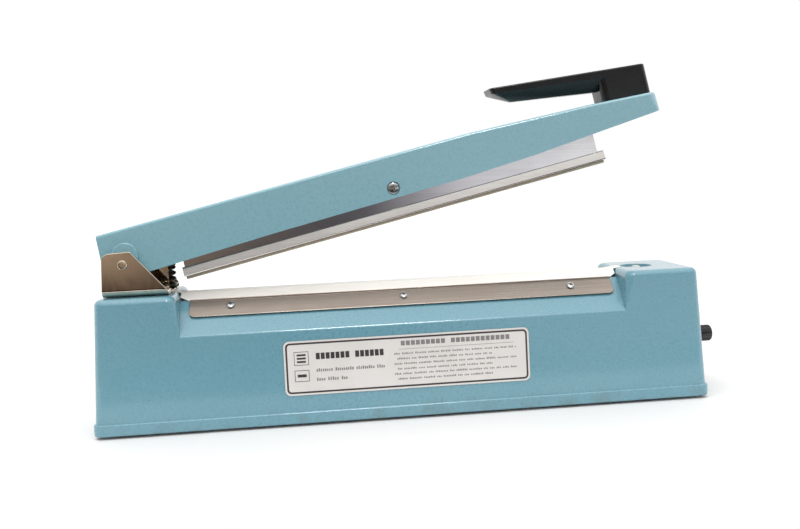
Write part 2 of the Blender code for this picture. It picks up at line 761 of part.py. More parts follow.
def transformer():
    """A laminated core with two windows, the coil through them, and the strap that holds it to the plate."""
    middle = -0.060
    low = 0.0045
    width = 0.066
    height = 0.055
    stack = 0.015
    left = middle - width / 2
    outline = [(left, low), (left + width, low), (left + width, low + height), (left, low + height)]
    windows = []
    limb = 0.011
    bottom = low + limb
    top = low + height - limb
    for x in (left + limb, left + width - 2 * limb):
        windows.append([(x, bottom), (x, top), (x + limb, top), (x + limb, bottom)])
    core = slab(outline, -stack, stack, ALONG_Y, windows)
    piece("transformer_core", core, LAMINATION, machine)

    play = 0.0005
    build = limb - 2.4 * play  # depth of the winding
    inner = limb + play
    deep = stack + play
    ring = both_sides([(inner + build, -deep - build), (inner + build, deep + build)])
    hole = both_sides([(inner, -deep), (inner, deep)])
    coil = slab(ring, bottom + play, top - play, ALONG_Z, [hole])
    piece("transformer_coil", moved(coil, Matrix.Translation((middle, 0, 0))), COPPER, machine)

    out = width / 2 + GAP
    thick = 0.0012
    top = low + height + GAP
    foot = 0.0030
    half = [
        (out + 0.011, foot),
        (out + 0.011, foot + thick),
        (out + thick, foot + thick),
        (out + thick, top + thick),
    ]
    inside = [(out, top), (out, foot)]
    outline = [(middle + x, z) for x, z in half] + [(middle - x, z) for x, z in reversed(half)]
    outline += [(middle - x, z) for x, z in reversed(inside)] + [(middle + x, z) for x, z in inside]
    piece("transformer_strap", slab(outline, -0.010, 0.010, ALONG_Y), SCREW_STEEL, machine)


def timer_board():
    """The timer's circuit board on four legs, with its relay and capacitor."""
    low = 0.0100
    board = piece("timer_board", box((0.060, -0.026, low), (0.145, 0.026, low + 0.0016)), BOARD, machine)
    for x in (0.065, 0.140):
        for y in (-0.021, 0.021):
            join(board, cylinder((x, y, 0.0030), (x, y, low + 0.0008), 0.0024, 12))
    top = low + 0.0016 + GAP
    piece("relay", box((0.072, -0.018, top), (0.091, -0.002, top + 0.0155)), BLACK_PLASTIC, machine)
    capacitor = cylinder((0.120, 0.008, top), (0.120, 0.008, top + 0.022), 0.0065, 20)
    piece("capacitor", capacitor, BLACK_PLASTIC, machine, smooth=True)


def timer_control():
    """The potentiometer inside the right wall, its shaft, and the knob outside."""

    def along(x_low, x_high, radius, sides):
        return cylinder((x_low, 0, KNOB_HEIGHT), (x_high, 0, KNOB_HEIGHT), radius, sides)

    pot = piece("potentiometer", along(0.2060, 0.2168, 0.0115, 24), SCREW_STEEL, machine)
    join(pot, along(0.2160, 0.2248, 0.0044, 20))
    cut(pot, along(0.2110, 0.2300, 0.0033, 20))
    shaft = cylinder((0.2114, 0, 0), (0.2396, 0, 0), 0.0029, 20)
    piece("timer_shaft", shaft, BRASS, knob_frame, smooth=True)
    start, end = KNOB_SPAN
    profile = [
        (0.0, end),
        (KNOB_RADIUS - 0.0008, end),
        (KNOB_RADIUS, end - 0.0010),
        (KNOB_RADIUS + 0.0002, start),
        (0.0033, start),
        (0.0033, end - 0.0040),
        (0.0, end - 0.0040),
    ]
    turned("timer_knob", profile, KNOB_PLASTIC, knob_frame, (0, 0, 0), (1, 0, 0), steps=24)


def lamp():
    """The indicator lens in the round recess of the right block, and its holder under the casting."""
    top = BASE_HEIGHT + 0.0014
    profile = [
        (0.0, top),
        (0.0014, top - 0.0003),
        (0.0024, top - 0.0011),
        (0.0031, top - 0.0026),
        (0.0031, 0.0880),
        (0.0, 0.0880),
    ]
    turned("lamp_lens", profile, LENS, machine, (LAMP_X, 0, 0), (0, 0, 1))
    seat = 0.0876
    ceiling = CEILING - LAMP_RECESS[1] - 0.0005
    low = 0.0770
    profile = [(0.0, seat), (0.0035, seat), (0.0035, ceiling), (0.0070, ceiling), (0.0070, low), (0.0, low)]
    turned("lamp_holder", profile, BLACK_PLASTIC, machine, (LAMP_X, 0, 0), (0, 0, 1))


def cord_grommet():
    """The rubber inlet in the back wall. No cord is modelled."""
    wall = wall_half(GROMMET.z)[1]
    inside = wall - WALL
    profile = [
        (0.0040, wall + 0.0018),
        (0.0076, wall + 0.0016),
        (0.0082, wall + 0.0006),
        (0.0058, wall + 0.0006),
        (0.0058, inside - 0.0006),
        (0.0078, inside - 0.0006),
        (0.0072, inside - 0.0024),
        (0.0040, inside - 0.0024),
        (0.0040, wall + 0.0018),
    ]
    turned("cord_grommet", profile, RUBBER, machine, GROMMET, (0, 1, 0))


def label_plate():
    """The thin plate on the front wall, lying along the wall's draft."""
    half_x = LABEL[0] / 2
    half_z = LABEL[1] / 2
    corners = both_sides([(half_x, -half_z), (half_x, half_z)])
    outline = rounded([(x, z, 0.004) for x, z in corners])
    x, z = LABEL_CENTRE
    surface = -wall_half(z)[1] - GAP
    plate = slab(outline, -0.0003, 0.0, ALONG_Y)
    lean = Matrix.Rotation(-math.atan(DRAFT), 4, "X")
    moved(plate, Matrix.Translation((x, surface, z)) @ lean)
    piece("label_plate", plate, LABEL_STOCK, machine)


# --- arm ---------------------------------------------------------------------------------------------

# The closed arm's side view, from the hinge pin.
ARM_TOP = [(-0.0130, 0.0246), (0.2650, 0.0250), (0.3595, 0.0214), (0.4090, 0.0182)]
ARM_NOSE = (0.4090, 0.0045)
ARM_BELLY = [
    (0.4040, 0.0037),
    (0.3540, 0.0001),
    (0.3090, -0.0032),
    (0.2520, -0.0056),
    (0.1090, -0.0073),
    (0.0100, -0.0098),
]
ARM_HEEL = [(-0.0100, -0.0098, 0.003), (-0.0148, 0.0010, 0.004)]  # the last value rounds the corner


def drafted(mesh):
    """Leans the arm's side walls in towards its top."""
    belly = ARM_BELLY[-1][1]
    for vertex in mesh.vertices:
        vertex.co.y *= 1.0 - ARM_DRAFT * (vertex.co.z - belly)
    return mesh


def arm_casting():
    """An inverted channel with closed ends, bosses at the pin, and seats for the spring and the switch."""
    outline = [(x, z, 0) for x, z in (*ARM_TOP, ARM_NOSE, *ARM_BELLY)] + ARM_HEEL
    outside = drafted(slab(rounded(outline, 3), -ARM_HALF_WIDTH, ARM_HALF_WIDTH, ALONG_Y))
    nose = ARM_NOSE[0] - 0.0002
    round_edges(outside, 0.009, 4, lambda a, b: min(a.x, b.x) > nose and abs(a.z - b.z) > 0.005)
    round_edges(outside, 0.0030, 2, on_arm_top)
    arm = piece("arm_casting", outside, PAINT, arm_frame, smooth=True)

    for side in (-1, 1):
        boss = cylinder((0, side * 0.0190, 0), (0, side * ARM_BOSS[1], 0), ARM_BOSS[0], 32)
        join(arm, boss)

    under = [(x, z - ARM_WALL) for x, z in ARM_TOP]
    left = ARM_TOP[0][0] + ARM_WALL
    right = ARM_NOSE[0] - ARM_WALL
    inner = [(left, under[0][1]), *under[1:3], (right, under[3][1]), (right, -0.03), (left, -0.03)]
    half = ARM_HALF_WIDTH - ARM_WALL
    cavity = drafted(slab(inner, -half, half, ALONG_Y))
    end = right - 0.0002
    round_edges(cavity, 0.0065, 3, lambda a, b: min(a.x, b.x) > end and abs(a.z - b.z) > 0.005)
    cut(arm, cavity)

    seat_x = SPRING_X - HINGE.x + 0.0001
    join(arm, cylinder((seat_x, 0, -0.0080), (seat_x, 0, 0.0235), 0.0046, 20))
    strike_x = PLUNGER_X - HINGE.x
    join(arm, box((strike_x - 0.005, -0.005, -0.0080), (strike_x + 0.004, 0.005, 0.0235)))
    cut(arm, cylinder((0, -0.04, 0), (0, 0.04, 0), 0.0029, 20))
    cut(arm, cylinder((PIVOT.x, -0.04, PIVOT.z), (PIVOT.x, 0.04, PIVOT.z), 0.0024, 16))
    for side in (-1, 1):
        cut(arm, cylinder((PIVOT.x, side * 0.0216, PIVOT.z), (PIVOT.x, side * 0.04, PIVOT.z), 0.00485, 24))
    for x in HANDLE_SCREW_X:
        cut(arm, cylinder((x, 0, 0.005), (x, 0, 0.040), 0.0021, 12))


def on_arm_top(a, b):
    """True for the edges between the arm's top and its sides and nose, and false for the bends across it."""
    crosses = abs(a.x - b.x) < 0.0001 and abs(a.y - b.y) > 0.01
    return min(a.z, b.z) > 0.0150 and (a.x > ARM_NOSE[0] - 0.0002 or not crosses)


def arm_top_height(x):
    """Height of the arm's top face at a place along it, ahead of its last bend."""
    (x0, z0), (x1, z1) = ARM_TOP[2:4]
    return z0 + (z1 - z0) * (x - x0) / (x1 - x0)


def handle():
    """A block on the arm's nose that carries a grip: a flat top with a low rim and a keel under it."""
    start, end = HANDLE_BLOCK
    half = HANDLE_HALF_WIDTH
    keel = 0.0050
    tip = 0.2865
    inside = start + 0.010
    fall = math.tan(math.radians(5.2))

    def top(x):
        return 0.0516 - fall * (x - tip)

    shape = bmesh.new()
    for side in (-1, 1):
        y = side * half
        for x, rim in ((tip, 0.0053), (inside, 0.0064)):
            shape.verts.new((x, y, top(x)))
            shape.verts.new((x + (0.0008 if x == tip else 0.0), y, top(x) - rim))
        shape.verts.new((0.303, side * keel, 0.0386))
        shape.verts.new((inside, side * keel, 0.0281))
    bmesh.ops.convex_hull(shape, input=shape.verts[:])
    grip = finished(shape)
    round_edges(grip, 0.0010, 2, lambda a, b: min(a.z - top(a.x), b.z - top(b.x)) > -0.0001)
    lower = [(x, arm_top_height(x) + GAP) for x in (start, end)]
    outline = [lower[0], lower[1], (end, top(end)), (start, top(start) - 0.00004)]
    block = slab(outline, -half, half, ALONG_Y)
    round_edges(block, 0.0055, 4, lambda a, b: abs(a.z - b.z) > 0.01)
    body = piece("handle", block, BLACK_PLASTIC, arm_frame, smooth=True)
    join(body, grip)
    for number, x in enumerate(HANDLE_SCREW_X, 1):
        under = arm_top_height(x) - ARM_WALL - 0.0008
        cut(body, cylinder((x, 0, 0.015), (x, 0, 0.0330), 0.0019, 12))
        pan_screw(f"handle_screw_{number}", HANDLE_SCREW, (x, 0, under), (0, 0, -1), arm_frame)


def press_bar_pivot():
    """The long screw through the arm that the press bar rocks on, with its two spacers."""
    head = 0.0216 + GAP
    end = -0.0212
    profile = [
        (0.0, head + 0.0013),
        (0.0022, head + 0.0013),
        (0.0038, head + 0.0008),
        (0.00415, head),
        (0.0020, head),
        (0.0020, end),
        (0.0, end),
    ]
    turned("pivot_screw", profile, SCREW_STEEL, arm_frame, PIVOT, (0, -1, 0))
    for side, word in ((-1, "front"), (1, "back")):
        low = 0.0072
        high = 0.0192
        profile = [(0.0024, high), (0.0046, high), (0.0046, low), (0.0024, low), (0.0024, high)]
        turned(f"pivot_spacer_{word}", profile, ALUMINIUM, arm_frame, PIVOT, (0, side, 0), steps=16)


def press_bar():
    """The extruded bar: a flange that carries the rubber in a slot, and two webs that straddle the pivot."""
    bottom = RUBBER_BOTTOM + 0.0025 - PIVOT.z
    shoulder = BAR_SHOULDER - PIVOT.z
    top = 0.0065
    key = bottom + 0.0020
    half = [
        (0.0042, key),
        (0.0042, bottom),
        (0.0080, bottom),
        (0.0085, bottom + 0.0005),
        (0.0085, shoulder),
        (0.0064, shoulder + 0.0004),
        (0.0064, top),
        (0.0048, top),
        (0.0048, shoulder - 0.0016),
    ]
    outline = both_sides(half)
    start, end = (x - PIVOT.x for x in PRESS_BAR)
    bar = piece("press_bar", slab(outline, start, end, ALONG_X), ALUMINIUM, bar_frame)
    for x_low, x_high in ((start - 0.01, start + 0.002), (end - 0.003, end + 0.01)):
        cut(bar, box((x_low, -0.02, shoulder + 0.0002), (x_high, 0.02, top + 0.01)))
    cut(bar, cylinder((0, -0.02, 0), (0, 0.02, 0), 0.0023, 16))

    low = RUBBER_BOTTOM - PIVOT.z
    neck = bottom - GAP
    half = [
        (0.0040, low),
        (0.0058, low + 0.0006),
        (0.0062, low + 0.0012),
        (0.0062, neck),
        (0.0038, neck),
        (0.0038, key - GAP),
    ]
    rubber = slab(both_sides(half), start + 0.0010, end - 0.0010, ALONG_X)
    piece("silicone_strip", rubber, SILICONE, bar_frame)


# --- assembly ----------------------------------------------------------------------------------------

base_housing()
bottom_plate()
sealing_bar()
clamps(ptfe_cloth())
element_terminals()
spring_guard(hinge_bracket())
return_spring()
switch_parts()
transformer()
timer_board()
timer_control()
lamp()
cord_grommet()
label_plate()
arm_casting()
handle()
press_bar_pivot()
press_bar()
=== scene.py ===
"""Looks of the hand impulse heat sealer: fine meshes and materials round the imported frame.

Metres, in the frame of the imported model. Pieces of the base are shaped about the middle of its flange's
underside, and pieces of the arm about its hinge pin with the arm shut; each is then moved into place.
"""

import json
import math
import random

import bmesh
import bpy
from mathutils import Matrix, Vector, noise


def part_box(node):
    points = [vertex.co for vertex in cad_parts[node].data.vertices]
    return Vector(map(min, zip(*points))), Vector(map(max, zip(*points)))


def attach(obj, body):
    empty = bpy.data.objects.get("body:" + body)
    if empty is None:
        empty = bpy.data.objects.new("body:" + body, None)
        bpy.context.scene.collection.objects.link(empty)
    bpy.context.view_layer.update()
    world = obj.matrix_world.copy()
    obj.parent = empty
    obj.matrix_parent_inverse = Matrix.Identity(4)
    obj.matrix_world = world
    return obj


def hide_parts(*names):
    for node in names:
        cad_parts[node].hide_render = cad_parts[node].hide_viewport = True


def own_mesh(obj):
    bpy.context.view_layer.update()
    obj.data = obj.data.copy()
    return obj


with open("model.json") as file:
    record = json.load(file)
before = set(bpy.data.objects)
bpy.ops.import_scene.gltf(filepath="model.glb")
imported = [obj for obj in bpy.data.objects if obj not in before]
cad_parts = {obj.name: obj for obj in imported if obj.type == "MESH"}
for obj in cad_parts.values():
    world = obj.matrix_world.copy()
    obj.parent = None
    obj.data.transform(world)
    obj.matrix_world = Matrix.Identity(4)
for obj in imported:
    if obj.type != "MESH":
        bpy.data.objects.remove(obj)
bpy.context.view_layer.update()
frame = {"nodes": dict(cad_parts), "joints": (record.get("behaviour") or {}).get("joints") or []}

# --- sizes that the fine pieces share with the frame ---

# Half the base's length and half its width
FLANGE_HALF = (0.225, 0.042)
BASE_HEIGHT = 0.096
FLANGE_HEIGHT = 0.0087
FLANGE_STEP = 0.0013
DRAFT = 0.0488
WALL = 0.003
CEILING = BASE_HEIGHT - WALL
FOOT_STAND = 0.002
GAP = 0.0003
NEAR = 0.0001
CORNER = 0.0065

RECESS_LEFT = -0.161
RECESS_RIGHT = 0.1623
END_WALL_LEAN = 0.0872
SLOPE_FOOT = (0.0378, 0.0673)
RIDGE = (0.014, 0.0895)
GROOVE_LEFT = -0.1665
GROOVE_RIGHT = 0.1668
GROOVE_HALF_WIDTH = 0.0068
GROOVE_FLOOR = 0.0832
TERMINAL_FLOOR = 0.058
CAVITY_SHOULDER = 0.064

BAR_HALF_WIDTH = 0.006
SEAL_TOP = 0.0952
SHEET = 0.00035
CLOTH_COLUMNS = 320
CLAMP_LEFT = -0.1555
CLAMP_RIGHT = 0.158
CLAMP_FLAT = 0.0145
CLAMP_LIP = 0.0024
CLAMP_THICKNESS = 0.001
LIP_TURN = math.radians(38)
LIP_BEND = 0.0006
CLAMP_SCREW_X = (-0.126, 0, 0.126)
CLAMP_SCREW_DROP = 0.0078

EAR_OUTSIDE = 0.0275
EAR_THICKNESS = 0.0015
BRACKET_LEFT = -0.2153
BRACKET_RIGHT = -0.1686
PLUNGER_X = -0.185
PLUNGER_HOLE = 0.0027
LAMP_X = 0.1846
KNOB_HEIGHT = 0.0393
KNOB_RADIUS = 0.00625
KNOB_SPAN = (0.2256, 0.244)
KNOB_RIBS = 16
GROMMET = (0.185, 0.026)
PLATE_SCREWS = [(x, y) for x in (-0.206, 0.206) for y in (-0.0325, 0.0325)]
FEET = [(x, y) for x in (-0.188, 0.188) for y in (-0.026, 0.026)]
BRACKET_SCREWS = [(x, y) for x in (-0.208, -0.1785) for y in (-0.0165, 0.0165)]
LABEL = (0.178, 0.039)
LABEL_CENTRE = (-0.0005, 0.04)
TITLE_LEFT = -0.0662

ARM_HALF_WIDTH = 0.0235
ARM_DRAFT = 1.4
ARM_WALL = 0.0028
ARM_BOSS = (0.0093, 0.0256)
ARM_TOP = [(-0.013, 0.0246), (0.265, 0.025), (0.3595, 0.0214), (0.409, 0.0182)]
ARM_NOSE = (0.409, 0.0045)
ARM_BELLY = [(0.404, 0.0037), (0.354, 0.0001), (0.309, -0.0032), (0.252, -0.0056), (0.109, -0.0073)]
ARM_BELLY.append((0.01, -0.0098))
HINGE = Vector((-0.199, 0, 0.1194))
PIVOT = (0.2, 0.001)
HANDLE_SCREW_X = (0.378, 0.397)
HANDLE_HALF_WIDTH = 0.0134
HANDLE_BLOCK = (0.3705, 0.4082)
PRESS_BAR = (0.036, 0.363)
RUBBER_BOTTOM = -0.0236
BAR_SHOULDER = -0.0145

# Screws as (head radius, crown height, shank radius, length)
PLATE_SCREW = (0.0032, 0.002, 0.0016, 0.0125)
CLAMP_SCREW = (0.0029, 0.0016, 0.0014, 0.0075)
BRACKET_SCREW = (0.0034, 0.002, 0.0016, 0.0075)
ANCHOR_SCREW = (0.0034, 0.0022, 0.0014, 0.003)
HANDLE_SCREW = (0.0036, 0.0022, 0.0016, 0.0135)
PIVOT_SCREW = (0.00415, 0.0013, 0.002, 0.0425)

# The picture's viewpoint; the turn is yaw, pitch and roll in degrees
CAMERA_PLACE = (-0.07229, -0.66253, 0.17377)
CAMERA_TURN = (5.439, 5.596, -2.559)
CAMERA_LENS = 39.65

# --- where the frame puts them ---

housing_low, housing_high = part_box("base_housing")
joints = {joint["name"]: joint for joint in frame["joints"]}
open_angle = math.radians(joints["arm_hinge"]["range_deg"][1])
HERE = Matrix.Identity(4)
BASE = Matrix.Translation(((housing_low.x + housing_high.x) / 2, 0, housing_low.z))
ARM = Matrix.Translation(joints["arm_hinge"]["pos_m"]) @ Matrix.Rotation(-open_angle, 4, "Y")

# --- materials ---

WHITE = (1, 1, 1)
EVEN = (1, 1, 1)
# The width of a Wave texture's band at scale 1
WAVE_BAND = 0.314


class Nodes:
    """A node tree being built, and short ways to add nodes to it."""

    def __init__(self, tree):
        self.tree = tree

    def put(self, value, socket):
        """Sets a socket to a number or a colour, or links another node's output to it."""
        if isinstance(value, bpy.types.NodeSocket):
            self.tree.links.new(value, socket)
        else:
            socket.default_value = (*value, 1) if socket.type == "RGBA" else value

    def add(self, kind, inputs=(), **settings):
        node = self.tree.nodes.new("ShaderNode" + kind)
        for name, value in settings.items():
            setattr(node, name, value)
        for socket, value in dict(inputs).items():
            self.put(value, node.inputs[socket])
        return node

    def axes(self, vector):
        return self.add("SeparateXYZ", {"Vector": vector}).outputs

    def math(self, operation, first, second):
        return self.add("Math", {0: first, 1: second}, operation=operation).outputs["Value"]

    def spread(self, value, low, high, to_low=0, to_high=1, blend="LINEAR"):
        """Moves the range low..high to to_low..to_high, and holds what lies outside it at its ends."""
        ends = {"Value": value, "From Min": low, "From Max": high, "To Min": to_low, "To Max": to_high}
        return self.add("MapRange", ends, interpolation_type=blend).outputs["Result"]

    def ramp(self, value, *stops):
        """A colour for each value, from (position, colour) stops."""
        node = self.add("ValToRGB", {"Fac": value})
        elements = node.color_ramp.elements
        while len(elements) < len(stops):
            elements.new(1)
        for element, (position, color) in zip(elements, stops):
            element.position = position
            element.color = (*color, 1)
        return node.outputs["Color"]

    def mix(self, factor, first, second):
        node = self.add("Mix", {"Factor": factor}, data_type="RGBA")
        for value, socket in zip((first, second), [s for s in node.inputs if s.type == "RGBA"]):
            self.put(value, socket)
        return [s for s in node.outputs if s.type == "RGBA"][0]


class Look(Nodes):
    """A material being built round its Principled shader, with textures over object coordinates."""

    def __init__(self, name, color, roughness, **settings):
        self.material = bpy.data.materials.new(name)
        self.material.use_nodes = True
        self.material.diffuse_color = (*color, 1)
        super().__init__(self.material.node_tree)
        self.shader = self.tree.nodes["Principled BSDF"].inputs
        for socket, value in {"Base_Color": color, "Roughness": roughness, **settings}.items():
            self.put(value, self.shader[socket.replace("_", " ")])
        self.place = self.add("TexCoord").outputs["Object"]

    def texture(self, kind, output, inputs, stretch=EVEN, **settings):
        place = self.add("Mapping", {"Vector": self.place, "Scale": stretch}).outputs["Vector"]
        return self.add("Tex" + kind, {"Vector": place, **inputs}, **settings).outputs[output]

    def noise(self, scale, detail=3, stretch=EVEN, distortion=0):
        inputs = {"Scale": scale, "Detail": detail, "Distortion": distortion}
        return self.texture("Noise", "Fac", inputs, stretch)

    def wave(self, scale, direction, distortion=0):
        inputs = {"Scale": scale, "Distortion": distortion}
        return self.texture("Wave", "Fac", inputs, bands_direction=direction)

    def height(self, *ends):
        return self.spread(self.axes(self.place)["Z"], *ends)

    def color(self, output):
        self.put(output, self.shader["Base Color"])

    def rough(self, value, low, high):
        self.put(self.spread(value, 0.3, 0.7, low, high), self.shader["Roughness"])

    def bump(self, value, distance, strength):
        """Relief of that depth in metres, added to any that is there."""
        normal = self.shader["Normal"]
        inputs = {"Distance": distance, "Strength": strength, "Height": value}
        if normal.is_linked:
            inputs["Normal"] = normal.links[0].from_socket
        self.put(self.add("Bump", inputs).outputs["Normal"], normal)

    def finish(self, tone, stops, gloss, rough, grain, relief, stain=None):
        """Colour on the ramp of `tone`, stained where another texture is high, with gloss and relief."""
        base = self.ramp(tone, *stops)
        if stain:
            texture, low, high, most, color = stain
            base = self.mix(self.spread(texture, low, high, 0, most), base, color)
        self.color(base)
        self.rough(gloss, *rough)
        if relief:
            self.bump(grain, *relief)
        return self.material


def tint(color, factor):
    return tuple(min(1, channel * factor) for channel in color)


def paint_look(name, color, warm, painted_light_high=None):
    """Sprayed hammer-finish enamel: shallow dimples, faint mottling, and a little grime low on the walls.
    Where a colour for it is given, painted light makes it paler higher up.
    """
    look = Look(name, color, 0.3, Coat_Weight=0.8, Coat_Roughness=0.1)
    base = look.mix(look.spread(look.noise(11), 0.42, 0.68, 0, 0.3), color, warm)
    dimple = look.texture("Voronoi", "Distance", {"Scale": 560}, feature="SMOOTH_F1")
    base = look.mix(look.spread(dimple, 0, 0.34, 0.3, 0), base, tint(color, 1.3))
    # Painted light: the colour turns paler with height, standing in for the light that the higher parts
    # catch.
    if painted_light_high:
        base = look.mix(look.height(0.125, 0.235), base, painted_light_high)
    patches = look.spread(look.noise(70, 6), 0.48, 0.66)
    grime = look.math("MULTIPLY", look.height(0.001, 0.017, 0.5, 0), patches)
    look.color(look.mix(grime, base, (0.1, 0.17, 0.17)))
    look.rough(look.noise(420, 2), 0.22, 0.38)
    look.bump(dimple, 0.00012, 0.8)
    look.bump(look.noise(300), 0.0001, 0.6)
    return look.material


def strip_look(name, color, roughness, lines, smear, dark, light, rough, stain):
    """Rolled or extruded metal: fine lines along its length, and smears from handling."""
    look = Look(name, color, roughness, Metallic=1)
    lines = look.noise(*lines)
    smear = look.noise(*smear)
    stops = [(0.3, tint(color, dark)), (0.7, tint(color, light))]
    return look.finish(lines, stops, smear, rough, lines, (0.00002, 0.35), (smear, *stain))


def nickel_look():
    """Dull nickel plate on pressed steel, warm and slightly cloudy, with drawn marks from the press."""
    color = (0.74, 0.64, 0.53)
    look = Look("nickel_plate", color, 0.15, Metallic=1)
    cloud = look.noise(55, 4, (1, 1, 0.45), 0.8)
    drawn = look.noise(1400, 2, (1, 1, 0.02))
    stops = [(0.3, tint(color, 0.8)), (0.55, color), (0.75, tint(color, 1.12))]
    stain = (drawn, 0.5, 0.75, 0.25, tint(color, 1.2))
    return look.finish(cloud, stops, cloud, (0.06, 0.14), drawn, (0.00001, 0.3), stain)


def noise_look(name, color, roughness, tone, stops, rough, relief=None, gloss=None, grain=None, **settings):
    """A look whose colour follows one noise; gloss and relief follow it too, or noises of their own."""
    look = Look(name, color, roughness, **settings)
    shade = look.noise(*tone)
    gloss = look.noise(*gloss) if gloss else shade
    grain = look.noise(*grain) if grain else shade
    return look.finish(shade, stops, gloss, rough, grain, relief)


def copper_look():
    """The transformer's winding: enamelled copper turns laid side by side."""
    look = Look("enamelled_winding", (0.55, 0.22, 0.09), 0.32, Metallic=0.7, Coat_Weight=0.4)
    turns = look.wave(420, "Z")
    stops = [(0.1, (0.22, 0.07, 0.03)), (0.6, (0.62, 0.26, 0.11))]
    return look.finish(turns, stops, look.noise(300), (0.25, 0.42), turns, (0.00025, 0.8))


def lamination_look():
    """The edges of stacked core plates, varnished."""
    look = Look("core_laminations", (0.16, 0.15, 0.15), 0.42, Metallic=0.7, Coat_Weight=0.3)
    plates = look.wave(320, "Y", 0.4)
    rust = look.noise(120, 5)
    stops = [(0.1, (0.05, 0.05, 0.05)), (0.5, (0.19, 0.18, 0.18))]
    stain = (rust, 0.55, 0.75, 0.5, (0.2, 0.1, 0.05))
    return look.finish(plates, stops, rust, (0.34, 0.55), plates, (0.00012, 0.8), stain)


def plastic_look(name, color, grain=1600):
    """Moulded black plastic with a fine spark-eroded grain and faint scuffs."""
    look = Look(name, color, 0.26)
    scuff = look.noise(85, 6, (0.4, 1, 1), 0.8)
    look.color(look.mix(look.spread(scuff, 0.5, 0.74, 0, 0.55), color, tint(color, 2.2)))
    look.rough(scuff, 0.2, 0.36)
    look.bump(look.noise(grain, 2), 0.00002, 0.4)
    return look.material


def rubber_look(name, color, speck):
    """Moulded rubber: matt, with fine dust in its surface."""
    stops = [(0.35, tint(color, 0.88)), (0.55, color), (0.75, speck)]
    return noise_look(
        name, color, 0.72, (500, 5), stops, (0.62, 0.82), (0.00004, 0.6), Specular_IOR_Level=0.35
    )


def woven_look(name, color, stained, pitch):
    """A coated cloth whose threads show as a fine plain weave."""
    look = Look(name, color, 0.52, Sheen_Weight=0.12, Sheen_Roughness=0.5)
    warp, weft, rise = (look.wave(WAVE_BAND / pitch, axis) for axis in "XYZ")
    weave = look.math("MULTIPLY", look.math("MAXIMUM", weft, rise), warp)
    stops = [(0, tint(color, 0.93)), (0.7, color)]
    stain = (look.noise(30, 5, (0.35, 1, 1)), 0.5, 0.74, 0.45, stained)
    return look.finish(weave, stops, look.noise(60), (0.42, 0.62), weave, (0.00004, 0.5), stain)


def board_look():
    """Solder-masked circuit board with the copper's lines faint under the mask."""
    look = Look("circuit_board", (0.03, 0.17, 0.08), 0.4, Coat_Weight=0.3)
    tracks = look.math("MULTIPLY", look.wave(90, "X", 3), look.wave(70, "Y", 2))
    stops = [(0.25, (0.025, 0.15, 0.07)), (0.45, (0.06, 0.27, 0.12))]
    return look.finish(tracks, stops, look.noise(200), (0.32, 0.5), tracks, (0.00004, 0.6))


def ink_look(name, color):
    """Screen-printed ink, thin in places."""
    stops = [(0.4, color), (0.75, tint(color, 1.8))]
    return noise_look(name, color, 0.45, (1800,), stops, (0.38, 0.55), (0.00001, 0.4))


PAINT = paint_look("hammered_enamel", (0.119, 0.282, 0.353), (0.146, 0.305, 0.364))
# The arm's enamel: a lighter copy of the base's, whose extra lightness is painted light standing in for the
# sheen and light the arm catches. Painted light also makes it paler higher up.
LIT_ARM_PAINT = paint_look(
    "hammered_enamel_arm_lit", (0.178, 0.362, 0.425), (0.208, 0.384, 0.44), painted_light_high=(0.25, 0.45, 0.52)
)
STAINLESS = strip_look(
    "stainless_strip", (0.315, 0.272, 0.238), 0.32, (900, 2, (0.012, 1, 1)),
    (38, 4, (0.5, 1, 1), 0.6), 0.9, 1.1, (0.24, 0.38), (0.42, 0.7, 0.4, (0.25, 0.205, 0.17)),
)
ALUMINIUM = strip_look(
    "aluminium_extrusion", (0.8, 0.78, 0.77), 0.28, (1500, 2, (0.006, 1, 1)),
    (26, 5, (0.6, 1, 1), 0.5), 0.94, 1.04, (0.11, 0.2), (0.52, 0.75, 0.4, (0.64, 0.61, 0.58)),
)
NICKEL = nickel_look()
# Bright zinc on screws and pressings, with soft blue and straw patches
ZINC = noise_look(
    "zinc_plate", (0.62, 0.62, 0.62), 0.2, (240, 4, EVEN, 0.7),
    [(0.32, (0.5, 0.52, 0.56)), (0.52, (0.62, 0.62, 0.62)), (0.72, (0.68, 0.65, 0.56))],
    (0.12, 0.28), (0.00001, 0.4), gloss=(900, 2), grain=(2200, 2), Metallic=1,
)
# Oil-blackened spring wire
DARK_STEEL = noise_look(
    "blackened_steel", (0.06, 0.056, 0.042), 0.35, (600, 4),
    [(0.35, (0.03, 0.029, 0.022)), (0.7, (0.13, 0.12, 0.09))], (0.24, 0.5), (0.00002, 0.5), Metallic=0.9,
)
BRASS = noise_look(
    "brass", (0.76, 0.56, 0.25), 0.3, (300, 4), [(0.35, (0.5, 0.34, 0.14)), (0.62, (0.76, 0.56, 0.25))],
    (0.22, 0.42), (0.00001, 0.4), grain=(2000, 2), Metallic=1,
)
# Resistance strip, browned by heat in bands
NICHROME = noise_look(
    "resistance_strip", (0.4, 0.37, 0.34), 0.38, (90, 4, (1, 0.3, 0.3)),
    [(0.35, (0.42, 0.39, 0.36)), (0.55, (0.3, 0.22, 0.16)), (0.7, (0.2, 0.17, 0.22))],
    (0.3, 0.5), Metallic=1,
)
COPPER = copper_look()
LAMINATION = lamination_look()
BLACK_PLASTIC = plastic_look("black_plastic", (0.006, 0.006, 0.0065))
KNOB_PLASTIC = plastic_look("knob_plastic", (0.014, 0.014, 0.015), 2400)
SILICONE = rubber_look("silicone_rubber", (0.37, 0.32, 0.24), (0.45, 0.4, 0.32))
FOOT_RUBBER = rubber_look("black_rubber", (0.018, 0.018, 0.018), (0.06, 0.06, 0.055))
PTFE = woven_look("ptfe_cloth", (0.9, 0.88, 0.84), (0.8, 0.75, 0.68), 0.00045)
UNDERLAY = woven_look("glass_cloth", (0.58, 0.46, 0.28), (0.34, 0.23, 0.12), 0.0007)
